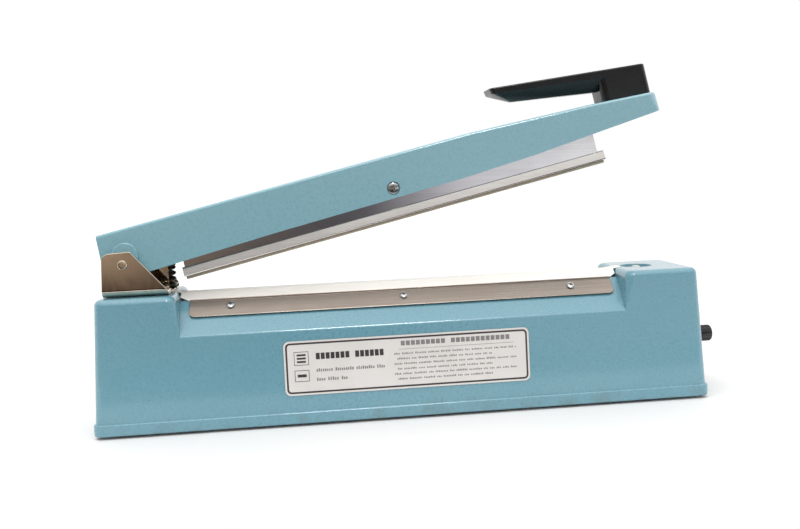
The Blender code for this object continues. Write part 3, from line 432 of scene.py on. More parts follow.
BOARD = board_look()
# Paper laminate insulator
PHENOLIC = noise_look(
    "phenolic_laminate", (0.2, 0.09, 0.035), 0.55, (500, 4, (0.2, 1, 1)),
    [(0.35, (0.14, 0.06, 0.022)), (0.68, (0.27, 0.13, 0.055))], (0.46, 0.64), (0.00003, 0.5),
)
# The lamp's milky moulded lens
LENS = noise_look(
    "lamp_lens", (0.86, 0.84, 0.78), 0.14, (700,), [(0.35, (0.8, 0.77, 0.69)), (0.65, (0.92, 0.91, 0.87))],
    (0.1, 0.2), (0.00003, 0.3), grain=(300, 2), Transmission_Weight=0.35, IOR=1.49,
)
# Satin printed film
LABEL_FILM = noise_look(
    "label_film", (0.645, 0.622, 0.606), 0.34, (45, 5),
    [(0.35, (0.61, 0.588, 0.568)), (0.6, (0.645, 0.622, 0.606))],
    (0.28, 0.42), (0.00003, 0.4), gloss=(300,), grain=(180,), Coat_Weight=0.2,
)
DARK_INK = ink_look("dark_ink", (0.024, 0.02, 0.02))
GREY_INK = ink_look("grey_ink", (0.15, 0.145, 0.145))

# --- shapes ---

# How an outline's own axes lie: extruded along X it is read as (Y, Z), along Y as (X, Z), along Z as (X, Y).
ALONG_X = Matrix(((0, 0, 1), (1, 0, 0), (0, 1, 0))).to_4x4()
ALONG_Y = Matrix(((1, 0, 0), (0, 0, -1), (0, 1, 0))).to_4x4()
ALONG_Z = Matrix.Identity(4)


def opened(*meshes):
    """The meshes together, as a bmesh."""
    shape = bmesh.new()
    for mesh in meshes:
        shape.from_mesh(mesh)
    return shape


def stored(shape, mesh=None):
    if mesh is None:
        mesh = bpy.data.meshes.new("shape")
    shape.to_mesh(mesh)
    shape.free()
    return mesh


def outward(shape):
    bmesh.ops.recalc_face_normals(shape, faces=shape.faces[:])
    return shape


def finished(shape):
    """A closed bmesh as a mesh, with its faces pointing out."""
    outward(shape)
    if shape.calc_volume(signed=True) < 0:
        bmesh.ops.reverse_faces(shape, faces=shape.faces[:])
    return stored(shape)


def merged(shape, angle):
    """Merges points that coincide, and flat faces that a Boolean or a curve leaves in pieces."""
    bmesh.ops.remove_doubles(shape, verts=shape.verts[:], dist=1e-6)
    bmesh.ops.dissolve_limit(shape, angle_limit=angle, verts=shape.verts[:], edges=shape.edges[:])


def frustum(bottom, top, low, high):
    """A block whose half length and half width change from its bottom to its top."""
    shape = bmesh.new()
    bmesh.ops.create_cube(shape, size=2)
    for vertex in shape.verts:
        half = top if vertex.co.z > 0 else bottom
        vertex.co = (vertex.co.x * half[0], vertex.co.y * half[1], high if vertex.co.z > 0 else low)
    return finished(shape)


def box(low, high):
    shape = bmesh.new()
    bmesh.ops.create_cube(shape, size=1)
    for vertex in shape.verts:
        for axis in range(3):
            vertex.co[axis] = low[axis] + (vertex.co[axis] + 0.5) * (high[axis] - low[axis])
    return finished(shape)


def facing(origin, axis):
    """The transform that puts a shape's Z axis along `axis`, from `origin`."""
    return Matrix.Translation(origin) @ Vector(axis).to_track_quat("Z", "Y").to_matrix().to_4x4()


def cylinder(start, end, radius, sides=48, end_radius=None):
    start = Vector(start)
    end = Vector(end)
    radii = {"radius1": radius, "radius2": radius if end_radius is None else end_radius}
    shape = bmesh.new()
    bmesh.ops.create_cone(shape, cap_ends=True, segments=sides, depth=(end - start).length, **radii)
    bmesh.ops.transform(shape, matrix=facing((start + end) / 2, end - start), verts=shape.verts[:])
    return finished(shape)


def hole(x, y, low, high, radius, sides):
    """An upright cylinder, as a cutter."""
    return cylinder((x, y, low), (x, y, high), radius, sides)


def hole_through(x, z, near, far, radius, sides):
    """A level cylinder across the machine, as a cutter."""
    return cylinder((x, near, z), (x, far, z), radius, sides)


def soften(mesh, radius, segments, chosen):
    """Rounds the edges whose two end points pass the test."""
    shape = opened(mesh)
    edges = [edge for edge in shape.edges if chosen(*(vertex.co for vertex in edge.verts))]
    bmesh.ops.bevel(shape, geom=edges, offset=radius, segments=segments, profile=0.5, affect="EDGES")
    return stored(outward(shape), mesh)


def upright(length, beyond=-1):
    """A test for edges that rise by more than that length, at x beyond that place."""
    return lambda a, b: abs(a.z - b.z) > length and min(a.x, b.x) > beyond


def cleaned(mesh):
    shape = opened(mesh)
    merged(shape, 0.002)
    return stored(shape, mesh)


def holder_of(data, name="helper"):
    obj = bpy.data.objects.new(name, data)
    bpy.context.scene.collection.objects.link(obj)
    return obj


def evaluated(obj):
    """The object's mesh after its modifiers. The object is removed."""
    graph = bpy.context.evaluated_depsgraph_get()
    mesh = bpy.data.meshes.new_from_object(obj.evaluated_get(graph))
    bpy.data.objects.remove(obj)
    return mesh


def carved(mesh, cuts=(), joins=()):
    """The mesh with the joins added and then the cuts taken away."""
    body = holder_of(mesh)
    helpers = []
    for operation, others in (("UNION", joins), ("DIFFERENCE", cuts)):
        for other in others:
            helpers.append(holder_of(other))
            modifier = body.modifiers.new(operation, "BOOLEAN")
            modifier.operation = operation
            modifier.solver = "EXACT"
            modifier.object = helpers[-1]
    result = evaluated(body)
    for helper in helpers:
        bpy.data.objects.remove(helper)
    return result


def bevelled(mesh, width, segments, angle, clamp=False):
    """The mesh with the edges that are sharper than the angle rounded."""
    obj = holder_of(mesh)
    bevel = obj.modifiers.new("edges", "BEVEL")
    bevel.width = width
    bevel.segments = segments
    bevel.use_clamp_overlap = clamp
    bevel.limit_method = "ANGLE"
    bevel.angle_limit = math.radians(angle)
    return evaluated(obj)


def polar(radius, angle):
    return (radius * math.cos(angle), radius * math.sin(angle))


def arc(centre, radius, start, end, steps):
    """Points on a circle, angles in degrees."""
    spokes = [polar(radius, math.radians(start + (end - start) * step / steps)) for step in range(steps + 1)]
    return [(centre[0] + a, centre[1] + b) for a, b in spokes]


def rounded(corners, steps=6, closed=True):
    """A line through corners (x, y, radius), rounded where the radius isn't 0."""
    points = []
    count = len(corners)
    for index, (x, y, radius) in enumerate(corners):
        corner = Vector((x, y))
        if radius == 0 or (not closed and index in (0, count - 1)):
            points.append((x, y))
            continue
        back = (Vector(corners[index - 1][:2]) - corner).normalized()
        ahead = (Vector(corners[(index + 1) % count][:2]) - corner).normalized()
        half = back.angle(ahead) / 2
        centre = corner + (back + ahead).normalized() * (radius / math.sin(half))
        first = corner + back * (radius / math.tan(half)) - centre
        turn = first.angle_signed(corner + ahead * (radius / math.tan(half)) - centre)
        for step in range(steps + 1):
            spoke = first.copy()
            spoke.rotate(Matrix.Rotation(-turn * step / steps, 2))
            points.append(tuple(centre + spoke))
    return points


def both_sides(half):
    """A whole outline from its points on one side of the middle."""
    return half + [(-point[0], *point[1:]) for point in reversed(half)]


def slab(outline, low, high, axes, holes=()):
    """An outline, with any holes in it, extruded from low to high along the axis that `axes` names."""
    curve = bpy.data.curves.new("outline", "CURVE")
    curve.dimensions = "2D"
    curve.fill_mode = "BOTH"
    curve.extrude = (high - low) / 2
    for points in (outline, *holes):
        spline = curve.splines.new("POLY")
        spline.points.add(len(points) - 1)
        for point, (x, y) in zip(spline.points, points):
            point.co = (x, y, 0, 1)
        spline.use_cyclic_u = True
    middle = (low + high) / 2
    shift = Matrix.Translation((0, 0, -middle if axes is ALONG_Y else middle))
    shape = opened(evaluated(holder_of(curve)))
    merged(shape, 0.001)
    bmesh.ops.transform(shape, matrix=axes @ shift, verts=shape.verts[:])
    return finished(shape)


def turned(profile, origin=(0, 0, 0), axis=(0, 0, 1), sides=64):
    """A shape turned about an axis, from (radius, height) points."""
    shape = bmesh.new()
    line = [shape.verts.new((radius, 0, height)) for radius, height in profile]
    edges = [shape.edges.new(pair) for pair in zip(line, line[1:])]
    whole = {"axis": (0, 0, 1), "cent": (0, 0, 0), "angle": 2 * math.pi, "steps": sides, "use_merge": True}
    bmesh.ops.spin(shape, geom=line + edges, **whole)
    bmesh.ops.remove_doubles(shape, verts=shape.verts[:], dist=1e-6)
    bmesh.ops.transform(shape, matrix=facing(origin, axis), verts=shape.verts[:])
    return finished(shape)


def lathed(corners, steps, *rest, ring=False):
    """A turned shape from corners (radius, height, rounding). The profile of a ring closes on itself."""
    profile = rounded(corners, steps, ring)
    return turned(profile + profile[:1] if ring else profile, *rest)


def beam(half, start, end, steps=4):
    """A slab along X, from the corners (half width, height, rounding) of one side of it."""
    return slab(rounded(both_sides(half), steps), start, end, ALONG_X)


def show(node, mesh, material, body="base", place=BASE, crease=32, name=None):
    """Puts a finished mesh in place as the piece that stands for a CAD node, or for none."""
    mesh.transform(place)
    mesh.materials.clear()
    mesh.materials.append(material)
    mesh.shade_smooth()
    mesh.set_sharp_from_angle(angle=math.radians(crease))
    obj = holder_of(mesh, name or f"{node}_fine")
    obj.modifiers.new("normals", "WEIGHTED_NORMAL").keep_sharp = True
    nodes = [node] if node else []
    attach(obj, body)
    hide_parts(*nodes)
    return obj


def dressed(node, material, edge=0.0003, segments=2, body="base"):
    """A CAD node's own shape with its edges rounded."""
    mesh = cleaned(frame["nodes"][node].data.copy())
    show(node, bevelled(mesh, edge, segments, 35, clamp=True), material, body, HERE)


def screw(node, origin, axis, sizes, turn=0, body="base", place=BASE, material=ZINC):
    """A pan-head screw with a cross recess. `origin` is under its head, which points along `axis`."""
    head, crown, shank, length = sizes
    profile = []
    for step in range(11):
        angle = math.pi / 2 * step / 10
        profile.append((head * math.sin(angle), crown * (0.25 + 0.75 * max(0, math.cos(angle)) ** 0.8)))
    profile += [(head * 0.98, 0), (shank, 0), (shank, -length + shank * 0.6)]
    profile += [(shank * 0.5, -length), (0, -length)]
    arm = head * 0.56
    slot = head * 0.11
    deep = crown * 0.05
    recess = []
    for quarter in (0, math.pi / 2):
        blade = box((-arm, -slot, deep), (arm, slot, crown * 1.5))
        blade.transform(Matrix.Rotation(turn + quarter, 4, "Z"))
        recess.append(blade)
    recess.append(cylinder((0, 0, deep), (0, 0, crown * 1.5), slot * 0.8, 16, head * 0.42))
    mesh = carved(turned(profile, sides=40), recess)
    mesh.transform(facing(origin, axis))
    show(node, mesh, material, body, place)


# --- base casting ---


def shrunk(half, by):
    return (half[0] - by, half[1] - by)


def wall_half(height):
    """Half the length and half the width of the drafted walls at that height."""
    return shrunk(FLANGE_HALF, FLANGE_STEP + DRAFT * (height - FLANGE_HEIGHT))


def slope_point(along, proud):
    """A point (half width, height) on the work slope: `along` it from its foot, and `proud` of it."""
    rise = Vector((-SLOPE_FOOT[0] + RIDGE[0], RIDGE[1] - SLOPE_FOOT[1])).normalized()
    out = Vector((rise.y, -rise.x))
    return tuple(Vector(SLOPE_FOOT) + rise * along + out * proud)


SLOPE_LENGTH = (Vector(RIDGE) - Vector(SLOPE_FOOT)).length
CLAMP_TOP = SLOPE_LENGTH + 0.0004


def clamp_screw_point(side, x, proud):
    y, z = slope_point(SLOPE_LENGTH - CLAMP_SCREW_DROP, proud)
    return Vector((x, side * y, z))


def clamp_screw_hole(side, x, outside, inside, radius, sides):
    return cylinder(clamp_screw_point(side, x, outside), clamp_screw_point(side, x, inside), radius, sides)


def end_wall(height, side):
    """Where the recess ends at that height: its end walls lean away from each other."""
    foot = RECESS_RIGHT if side > 0 else RECESS_LEFT
    return foot + side * END_WALL_LEAN * (height - SLOPE_FOOT[1])


def corner_cutter(end, side, radius):
    """Rounds a block's upright corner beside the recess, from nothing at the slope's foot to `radius`."""
    shape = bmesh.new()
    rings = []
    spare = 0.003
    for height, size in ((SLOPE_FOOT[1], 0.0002), (BASE_HEIGHT + 0.001, radius)):
        x = end_wall(height, end)
        y = wall_half(height)[1]
        points = [(x + end * (size - a), side * (y - size + b)) for a, b in arc((0, 0), size, 0, 90, 8)]
        points += [(x + end * size, side * (y + spare)), (x - end * spare, side * (y + spare))]
        points.append((x - end * spare, side * (y - size)))
        rings.append([shape.verts.new((*point, height)) for point in points])
    low, high = rings
    shape.faces.new(low)
    shape.faces.new(high)
    for index in range(len(low)):
        after = (index + 1) % len(low)
        shape.faces.new((low[index], low[after], high[after], high[index]))
    return finished(shape)


def lamp_recess():
    """The dished round pocket round the lamp, as a cutter."""
    low = BASE_HEIGHT - 0.0024
    high = BASE_HEIGHT + 0.002
    corners = [(0, high, 0), (0.015, high, 0), (0.015, BASE_HEIGHT, 0), (0.0121, BASE_HEIGHT, 0.0004)]
    corners += [(0.0116, low, 0.0008), (0, low, 0)]
    return lathed(corners, 4, (LAMP_X, 0, 0), (0, 0, 1), 72)


def work_recess():
    """The space over both work slopes and the ridge, from block to block, as a cutter."""
    foot_y, foot_z = SLOPE_FOOT
    fall = (RIDGE[1] - foot_z) / (foot_y - RIDGE[0])
    away = foot_y + 0.016
    below = foot_z - 0.01
    corners = [(away, BASE_HEIGHT + 0.01, 0), (away, below, 0), (wall_half(below)[1], below, 0)]
    corners += [(foot_y - 0.00003, foot_z + 0.00003 * fall, 0.0032), (*RIDGE, 0.001), (0, RIDGE[1], 0)]
    half = rounded(corners, 6, closed=False)[:-1]
    recess = slab(both_sides(half), RECESS_LEFT, RECESS_RIGHT, ALONG_X)
    for vertex in recess.vertices:
        vertex.co.x = end_wall(vertex.co.z, 1 if vertex.co.x > 0 else -1)
    return recess


def base_walls():
    """The solid outside above the flange: two end blocks with soft corners, and the slopes between."""
    hidden = FLANGE_HEIGHT / 2
    outside = frustum(wall_half(hidden), wall_half(BASE_HEIGHT), hidden, BASE_HEIGHT)
    soften(outside, CORNER, 8, upright(0.01))
    rounders = [corner_cutter(end, side, 0.007) for end in (-1, 1) for side in (-1, 1)]
    walls = cleaned(carved(outside, [work_recess(), *rounders]))
    return soften(walls, 0.0042, 7, lambda a, b: min(a.z, b.z) > BASE_HEIGHT - NEAR)


def base_flange():
    flange = frustum(FLANGE_HALF, FLANGE_HALF, 0, FLANGE_HEIGHT)
    soften(flange, CORNER, 8, upright(0.004))
    soften(flange, 0.0014, 5, lambda a, b: min(a.z, b.z) > FLANGE_HEIGHT - NEAR)
    return soften(flange, 0.0012, 4, lambda a, b: max(a.z, b.z) < NEAR)


def base_cavity():
    """Cutters for the inside: the room under the slopes, blocks and ridge, and the bottom plate's rebate."""
    rebate = shrunk(FLANGE_HALF, 0.003)
    mouth, roof = (shrunk(wall_half(height), WALL) for height in (FLANGE_HEIGHT, CAVITY_SHOULDER))
    cuts = [frustum(mouth, roof, -0.001, CAVITY_SHOULDER), frustum(rebate, rebate, -0.002, 0.003)]
    half_x, half_y = shrunk(wall_half(BASE_HEIGHT), WALL)
    for x_low, x_high in ((-half_x, RECESS_LEFT - WALL), (RECESS_RIGHT + WALL, half_x)):
        cuts.append(box((x_low, -half_y, CAVITY_SHOULDER - 0.004), (x_high, half_y, CEILING)))
    half = [(0.0305, CAVITY_SHOULDER - 0.002), (0.0305, CAVITY_SHOULDER + 0.002), (0.0185, 0.0785)]
    cuts.append(slab(both_sides(half), RECESS_LEFT + WALL, RECESS_RIGHT - WALL, ALONG_X))
    return cuts


def base_openings():
    """Cutters for the sealing bar's groove and for the holes that other pieces fit."""
    cuts = []
    under = CEILING - 0.008
    above = BASE_HEIGHT + 0.014
    for x_low, x_high, floor in (
        (GROOVE_LEFT, GROOVE_RIGHT, GROOVE_FLOOR),
        (GROOVE_LEFT, RECESS_LEFT, TERMINAL_FLOOR),
        (RECESS_RIGHT, GROOVE_RIGHT, TERMINAL_FLOOR),
    ):
        cuts.append(box((x_low, -GROOVE_HALF_WIDTH, floor), (x_high, GROOVE_HALF_WIDTH, above)))
    cuts += [hole(x, y, 0.001, 0.016, 0.0019, 16) for x, y in PLATE_SCREWS]
    cuts += [hole(x, y, under, above, 0.002, 16) for x, y in BRACKET_SCREWS]
    cuts += [hole(PLUNGER_X, 0, under, above, PLUNGER_HOLE, 24), lamp_recess()]
    cuts.append(hole(LAMP_X, 0, under, above, 0.0036, 40))
    cuts.append(cylinder((0.21, 0, KNOB_HEIGHT), (0.23, 0, KNOB_HEIGHT), 0.0048, 32))
    x, z = GROMMET
    cuts.append(hole_through(x, z, 0.033, 0.045, 0.0062, 32))
    for side in (-1, 1):
        cuts += [clamp_screw_hole(side, x, 0.004, -0.0065, 0.0018, 16) for x in CLAMP_SCREW_X]
    return cuts


def base_shell():
    """The cast base: hollow drafted walls on a flange, with a boss for each of the bottom plate's screws."""
    bosses = [cylinder((x, y, 0.0032), (x, y * 1.02, 0.03), 0.0058, 24) for x, y in PLATE_SCREWS]
    shell = carved(base_walls(), base_cavity() + base_openings(), [base_flange(), *bosses])
    show("base_housing", shell, PAINT, name="base_shell")


def underside():
    """The bottom plate, its screws and the rubber feet."""
    dressed("bottom_plate", ZINC, 0.00025)
    for number, (x, y) in enumerate(PLATE_SCREWS, 1):
        screw(f"plate_screw_{number}", (x, y, 0.0011), (0, 0, -1), PLATE_SCREW, number)
    sole = -FOOT_STAND
    corners = [(0, 0.0052, 0), (0.003, 0.005, 0.0006), (0.0042, 0.0029, 0.0002), (0.0027, 0.0029, 0.0003)]
    corners += [(0.0027, 0.0011, 0), (0.007, 0.0011, 0.0003), (0.0072, 0.0004, 0.0003)]
    corners += [(0.0065, sole, 0.0006), (0.002, sole, 0.0003)]
    corners += [(0.0016, sole + 0.0009, 0.0003), (0, sole + 0.0009, 0)]
    for number, (x, y) in enumerate(FEET, 1):
        show(f"foot_{number}", lathed(corners, 4, (x, y, 0)), FOOT_RUBBER)


# --- sealing bar, cloth and clamps ---


def cloth_line():
    """The cloth's middle from the front clamp's foot over the bar to the back one's, as (y, z)."""
    proud = GAP + SHEET / 2
    top = SEAL_TOP - SHEET / 2
    corners = [
        (*slope_point(CLAMP_TOP - CLAMP_FLAT - CLAMP_LIP + 0.003, proud), 0),
        (*slope_point(CLAMP_TOP - CLAMP_LIP, proud), 0.003),
        (BAR_HALF_WIDTH + 0.0006, top - 0.0001, 0.0008),
        (0, top, 0),
    ]
    line = rounded(corners, 5, closed=False)
    whole = [Vector((-y, z)) for y, z in line] + [Vector(point) for point in reversed(line[:-1])]
    fine = []
    for start, end in zip(whole, whole[1:]):
        steps = max(1, round((end - start).length / 0.0008))
        fine += [start.lerp(end, step / steps) for step in range(steps)]
    return fine + [whole[-1]]


def clamped(value):
    return min(1, max(0, value))


def ptfe_cloth():
    """The coated cloth, pulled over the bar and held by the clamps, with small ripples in its free spans."""
    line = cloth_line()
    shape = bmesh.new()
    rows = []
    for index, point in enumerate(line):
        ahead = line[min(index + 1, len(line) - 1)] - line[max(index - 1, 0)]
        normal = Vector((ahead.y, -ahead.x)).normalized()
        if normal.y < 0:
            normal.negate()
        inside = abs(point.x)
        crown = inside < BAR_HALF_WIDTH - 0.0006
        lift = clamped((0.0125 - inside) / 0.003) * clamped((inside - 0.0068) / 0.002)
        free = clamped((0.0152 - inside) / 0.0045)
        left = -0.17 if crown else -0.1543 - 0.0086 * free
        right = 0.1712 if crown else 0.1568 + 0.0074 * free
        row = []
        for column in range(CLOTH_COLUMNS + 1):
            share = column / CLOTH_COLUMNS
            frayed = 0.0007 * noise.noise((share * 3, point.x * 600, 4)) if crown else 0
            x = left + (right - left) * share + frayed * (1 - 2 * share)
            ripple = noise.noise((x * 55, point.x * 90, 1.5)) * 0.00045 * lift
            ripple += noise.noise((x * 160, point.x * 240, 7.5)) * 0.00012 * lift
            past = clamped(max(GROOVE_LEFT + 0.0036 - x, x - GROOVE_RIGHT + 0.0036) / 0.0036)
            over = 0.00125 * past**2 * (3 - 2 * past) if crown else 0
            spot = point + normal * ripple
            row.append(shape.verts.new((x, spot.x, spot.y + over)))
        rows.append(row)
    for one, other in zip(rows, rows[1:]):
        for column in range(CLOTH_COLUMNS):
            shape.faces.new((one[column], one[column + 1], other[column + 1], other[column]))
    mesh = stored(outward(shape))
    cloth = show("ptfe_cloth", mesh, PTFE, crease=80)
    thick = cloth.modifiers.new("thickness", "SOLIDIFY")
    thick.thickness = 0.00018
    thick.offset = 0


def clamp_strip(side, word):
    """A stainless strip on the slope: rounded lower corners, and a lip bent over the ridge."""
    rise = CLAMP_FLAT + CLAMP_LIP
    low = GAP + SHEET + GAP
    corners = [(CLAMP_LEFT, 0, 0.004), (CLAMP_RIGHT, 0, 0.004)]
    corners += [(CLAMP_RIGHT, rise, 0), (CLAMP_LEFT, rise, 0)]
    shape = opened(slab(rounded(corners), low, low + CLAMP_THICKNESS, ALONG_Z))
    for step in range(-3, 4):
        everything = shape.verts[:] + shape.edges[:] + shape.faces[:]
        height = CLAMP_FLAT + LIP_BEND * step / 3
        bmesh.ops.bisect_plane(shape, geom=everything, plane_co=(0, height, 0), plane_no=(0, 1, 0))
    rise_angle = math.atan2(RIDGE[1] - SLOPE_FOOT[1], SLOPE_FOOT[0] - RIDGE[0])
    straight = CLAMP_FLAT - LIP_BEND
    pace = LIP_BEND / 6
    for vertex in shape.verts:
        x, along, proud = vertex.co
        y, z = slope_point(CLAMP_TOP - rise + min(along, straight), 0)
        travelled = straight
        angle = rise_angle
        while travelled < along - 1e-7:
            angle = rise_angle + LIP_TURN * clamped((travelled - straight) / (2 * LIP_BEND))
            y -= pace * math.cos(angle)
            z += pace * math.sin(angle)
            travelled += pace
        y += proud * math.sin(angle)
        z += proud * math.cos(angle)
        vertex.co = (x, side * y, z)
    holes = [clamp_screw_hole(side, x, 0.006, -0.002, 0.0019, 20) for x in CLAMP_SCREW_X]
    strip = bevelled(carved(finished(shape), holes), 0.00036, 2, 40)
    show(f"clamp_{word}", strip, STAINLESS)
    for number, x in enumerate(CLAMP_SCREW_X, 1):
        seat = clamp_screw_point(side, x, low + CLAMP_THICKNESS + GAP)
        axis = clamp_screw_point(side, x, 1) - clamp_screw_point(side, x, 0)
        screw(f"clamp_screw_{word}_{number}", seat, axis, CLAMP_SCREW, 0.3 + number * 0.8)


def sealing_line():
    """The bar, the underlay, the element and what holds the element's ends."""
    dressed("sealing_bar", ALUMINIUM)
    dressed("bar_underlay", UNDERLAY, 0.0001, 1)
    dressed("heating_element", NICHROME, 0.00006, 1)
    ptfe_cloth()
    clamp_strip(-1, "front")
    clamp_strip(1, "back")
    for word in ("left", "right"):
        dressed(f"element_terminal_{word}", BRASS, 0.0004)
        dressed(f"terminal_insulator_{word}", PHENOLIC)


# --- hinge ---


def hinge_bracket():
    """The plated channel whose ears carry the pin, its screws, and the pin's riveted ends."""
    low = BASE_HEIGHT + GAP
    web_top = low + EAR_THICKNESS
    blank = 0.135
    inside = EAR_OUTSIDE - EAR_THICKNESS
    half = [(EAR_OUTSIDE, blank, 0), (EAR_OUTSIDE, low, 0.0055)]
    inner = [(-inside, blank, 0), (-inside, web_top, 0.004)]
    outline = rounded(both_sides(half) + both_sides(inner), 10)
    channel = slab(outline, BRACKET_LEFT, BRACKET_RIGHT, ALONG_X)
    left = BRACKET_LEFT - 0.01
    right = BRACKET_RIGHT + 0.01
    around = [(left, 0.09, 0), (BRACKET_LEFT, 0.09, 0), (BRACKET_LEFT + 0.002, 0.1276, 0.0055)]
    around += [(-0.1935, 0.1286, 0.0008), (-0.1692, 0.1006, 0.002), (BRACKET_RIGHT, 0.0975, 0)]
    around += [(BRACKET_RIGHT, 0.09, 0), (right, 0.09, 0), (right, 0.145, 0), (left, 0.145, 0)]
    cuts = [slab(rounded(around, 8), -0.04, 0.04, ALONG_Y)]
    cuts.append(hole_through(HINGE.x, HINGE.z, -0.04, 0.04, 0.0028, 40))
    cuts += [hole(x, y, 0.09, 0.102, 0.002, 24) for x, y in BRACKET_SCREWS]
    cuts.append(hole(PLUNGER_X, 0, 0.09, 0.102, PLUNGER_HOLE, 32))
    bracket = bevelled(cleaned(carved(channel, cuts)), 0.0006, 3, 45)
    show("hinge_bracket", bracket, NICKEL)
    for number, (x, y) in enumerate(BRACKET_SCREWS, 1):
        screw(f"bracket_screw_{number}", (x, y, web_top + GAP), (0, 0, 1), BRACKET_SCREW, number * 0.7)

    head = [(0, 0.0001), (0.0017, 0.0001), (0.002, 0.0004), (0.0024, 0.001), (0.0029, 0.001)]
    head += [(0.0033, 0.0006), (0.0034, 0), (0.0025, 0)]
    head = [(radius, EAR_OUTSIDE + GAP + height) for radius, height in head]
    ends = head + [(radius, -height) for radius, height in reversed(head)]
    show("hinge_pin", turned(ends, HINGE, (0, -1, 0)), NICKEL)


def spring_guard():
    """The small plated wall beside the spring, and the screw that holds the spring's end."""
    dressed("spring_guard", NICKEL, 0.0002)
    spot = (-0.1737, 0.0086 - GAP, 0.105)
    screw("spring_anchor_screw", spot, (0, -1, 0), ANCHOR_SCREW, 0.5, material=DARK_STEEL)


def return_spring():
    """The compression spring under the arm, in the box of the frame's own node."""
    low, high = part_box("return_spring")
    wire = 0.001
    coil = (high.x - low.x) / 2 - wire
    middle = Vector(((low.x + high.x) / 2, (low.y + high.y) / 2, 0))
    turns = 5
    per_turn = 40
    dead = 2 * wire + 0.0001
    travel = high.z - low.z - 2 * wire
    curve = bpy.data.curves.new("spring", "CURVE")
    curve.dimensions = "3D"
    curve.bevel_depth = wire
    curve.bevel_resolution = 4
    curve.use_fill_caps = True
    spline = curve.splines.new("POLY")
    spline.points.add(turns * per_turn)
    for index, point in enumerate(spline.points):
        done = index / per_turn
        if done < 1:
            height = dead * done
        elif done > turns - 1:
            height = travel - dead * (turns - done)
        else:
            height = dead + (travel - 2 * dead) * (done - 1) / (turns - 2)
        spot = middle + Vector((*polar(coil, done * 2 * math.pi), low.z + wire + height))
        point.co = (*spot, 1)
    mesh = evaluated(holder_of(curve))
    spring = show("return_spring", mesh, DARK_STEEL, place=HERE)
    spring.modifiers.clear()
    return spring


# --- inside and on the base ---


def inner_parts():
    dressed("switch_plunger", BLACK_PLASTIC, 0.0002, body="plunger")
    dressed("micro_switch", BLACK_PLASTIC, 0.0004)
    dressed("switch_bracket", ZINC, 0.0002)
    dressed("transformer_core", LAMINATION)
    dressed("transformer_coil", COPPER, 0.0025, 4)
    dressed("transformer_strap", ZINC)
    dressed("timer_board", BOARD, 0.0001, 1)
    dressed("relay", BLACK_PLASTIC, 0.0005, 3)
    dressed("capacitor", BLACK_PLASTIC, 0.0006, 3)
    dressed("potentiometer", ZINC)
    dressed("timer_shaft", BRASS, body="knob")
    dressed("lamp_holder", BLACK_PLASTIC)


def timer_knob():
    """A ribbed knob with a chamfered end and a hollow back for the shaft."""
    start, end = KNOB_SPAN
    outline = []
    for rib in range(KNOB_RIBS):
        for share, dip in ((0, 0), (0.22, 0), (0.36, 0.00065), (0.64, 0.0007), (0.78, 0.00065)):
            outline.append(polar(KNOB_RADIUS + 0.00015 - dip, 2 * math.pi * (rib + share) / KNOB_RIBS))
    body = slab(outline, start + 0.0006, end - 0.0002, ALONG_X)
    face = [(0, 0), (0.0053, 0), (0.0057, 0.0003), (0.00625, 0.0011), (0.0067, 0.0023), (0.012, 0.0023)]
    trim = turned([*face, (0.012, -0.005), (0, -0.005)], (end, 0, 0), (-1, 0, 0))
    brim = start + 0.0018
    collar = [(0, start, 0), (0.00645, start, 0.0003), (0.00645, brim, 0.0005), (0, brim, 0)]
    skirt = lathed(collar, 4, (0, 0, 0), (1, 0, 0))
    bore = cylinder((start - 0.001, 0, 0), (end - 0.004, 0, 0), 0.0033, 40)
    mesh = carved(carved(carved(body, [trim]), joins=[skirt]), [bore])
    place = BASE @ Matrix.Translation((0, 0, KNOB_HEIGHT))
    show("timer_knob", mesh, KNOB_PLASTIC, "knob", place)


def lamp():
    top = BASE_HEIGHT + 0.0002
    foot = 0.088
    rim = 0.0034
    dome = [math.radians(angle) for angle in range(0, 91, 10)]
    profile = [(rim * math.sin(angle), top - 0.0016 * (1 - math.cos(angle))) for angle in dome]
    lens = turned([*profile, (rim, foot), (0, foot)], (LAMP_X, 0, 0))
    show("lamp_lens", lens, LENS)


def cord_inlet():
    x, z = GROMMET
    wall = wall_half(z)[1]
    inside = wall - WALL
    outer = [(0.004, 0.0018, 0.0005), (0.0076, 0.0016, 0.0008), (0.0082, 0.0006, 0.0003), (0.0058, 0.0006, 0)]
    inner = [(0.0058, 0.0006, 0), (0.0078, 0.0006, 0.0004), (0.0072, 0.0024, 0.0006), (0.004, 0.0024, 0.0004)]
    corners = [(radius, wall + proud, soft) for radius, proud, soft in outer]
    corners += [(radius, inside - proud, soft) for radius, proud, soft in inner]
    grommet = lathed(corners, 4, (x, 0, z), (0, 1, 0), ring=True)
    show("cord_grommet", grommet, FOOT_RUBBER)


def frame_line(inset, radius):
    """A line round the label, that far inside its edge."""
    half_x = LABEL[0] / 2 - inset
    half_z = LABEL[1] / 2 - inset
    corners = both_sides([(half_x, -half_z), (half_x, half_z)])
    return rounded([(x, z, radius) for x, z in corners], 8)


def rectangle(left, low, right, high):
    return [(left, low), (right, low), (right, high), (left, high)]


def printed(outline, holes=()):
    return slab(outline, -0.00032, -0.0002, ALONG_Y, holes)


def printed_bar(left, low, length, height):
    return printed(rectangle(left, low, left + length, low + height))


def heading(count, gap, start, pitch, *sizes):
    """A row of even bars, with one left out."""
    low, length, height = sizes
    return [printed_bar(start + index * pitch, low, length, height) for index in range(count) if index != gap]


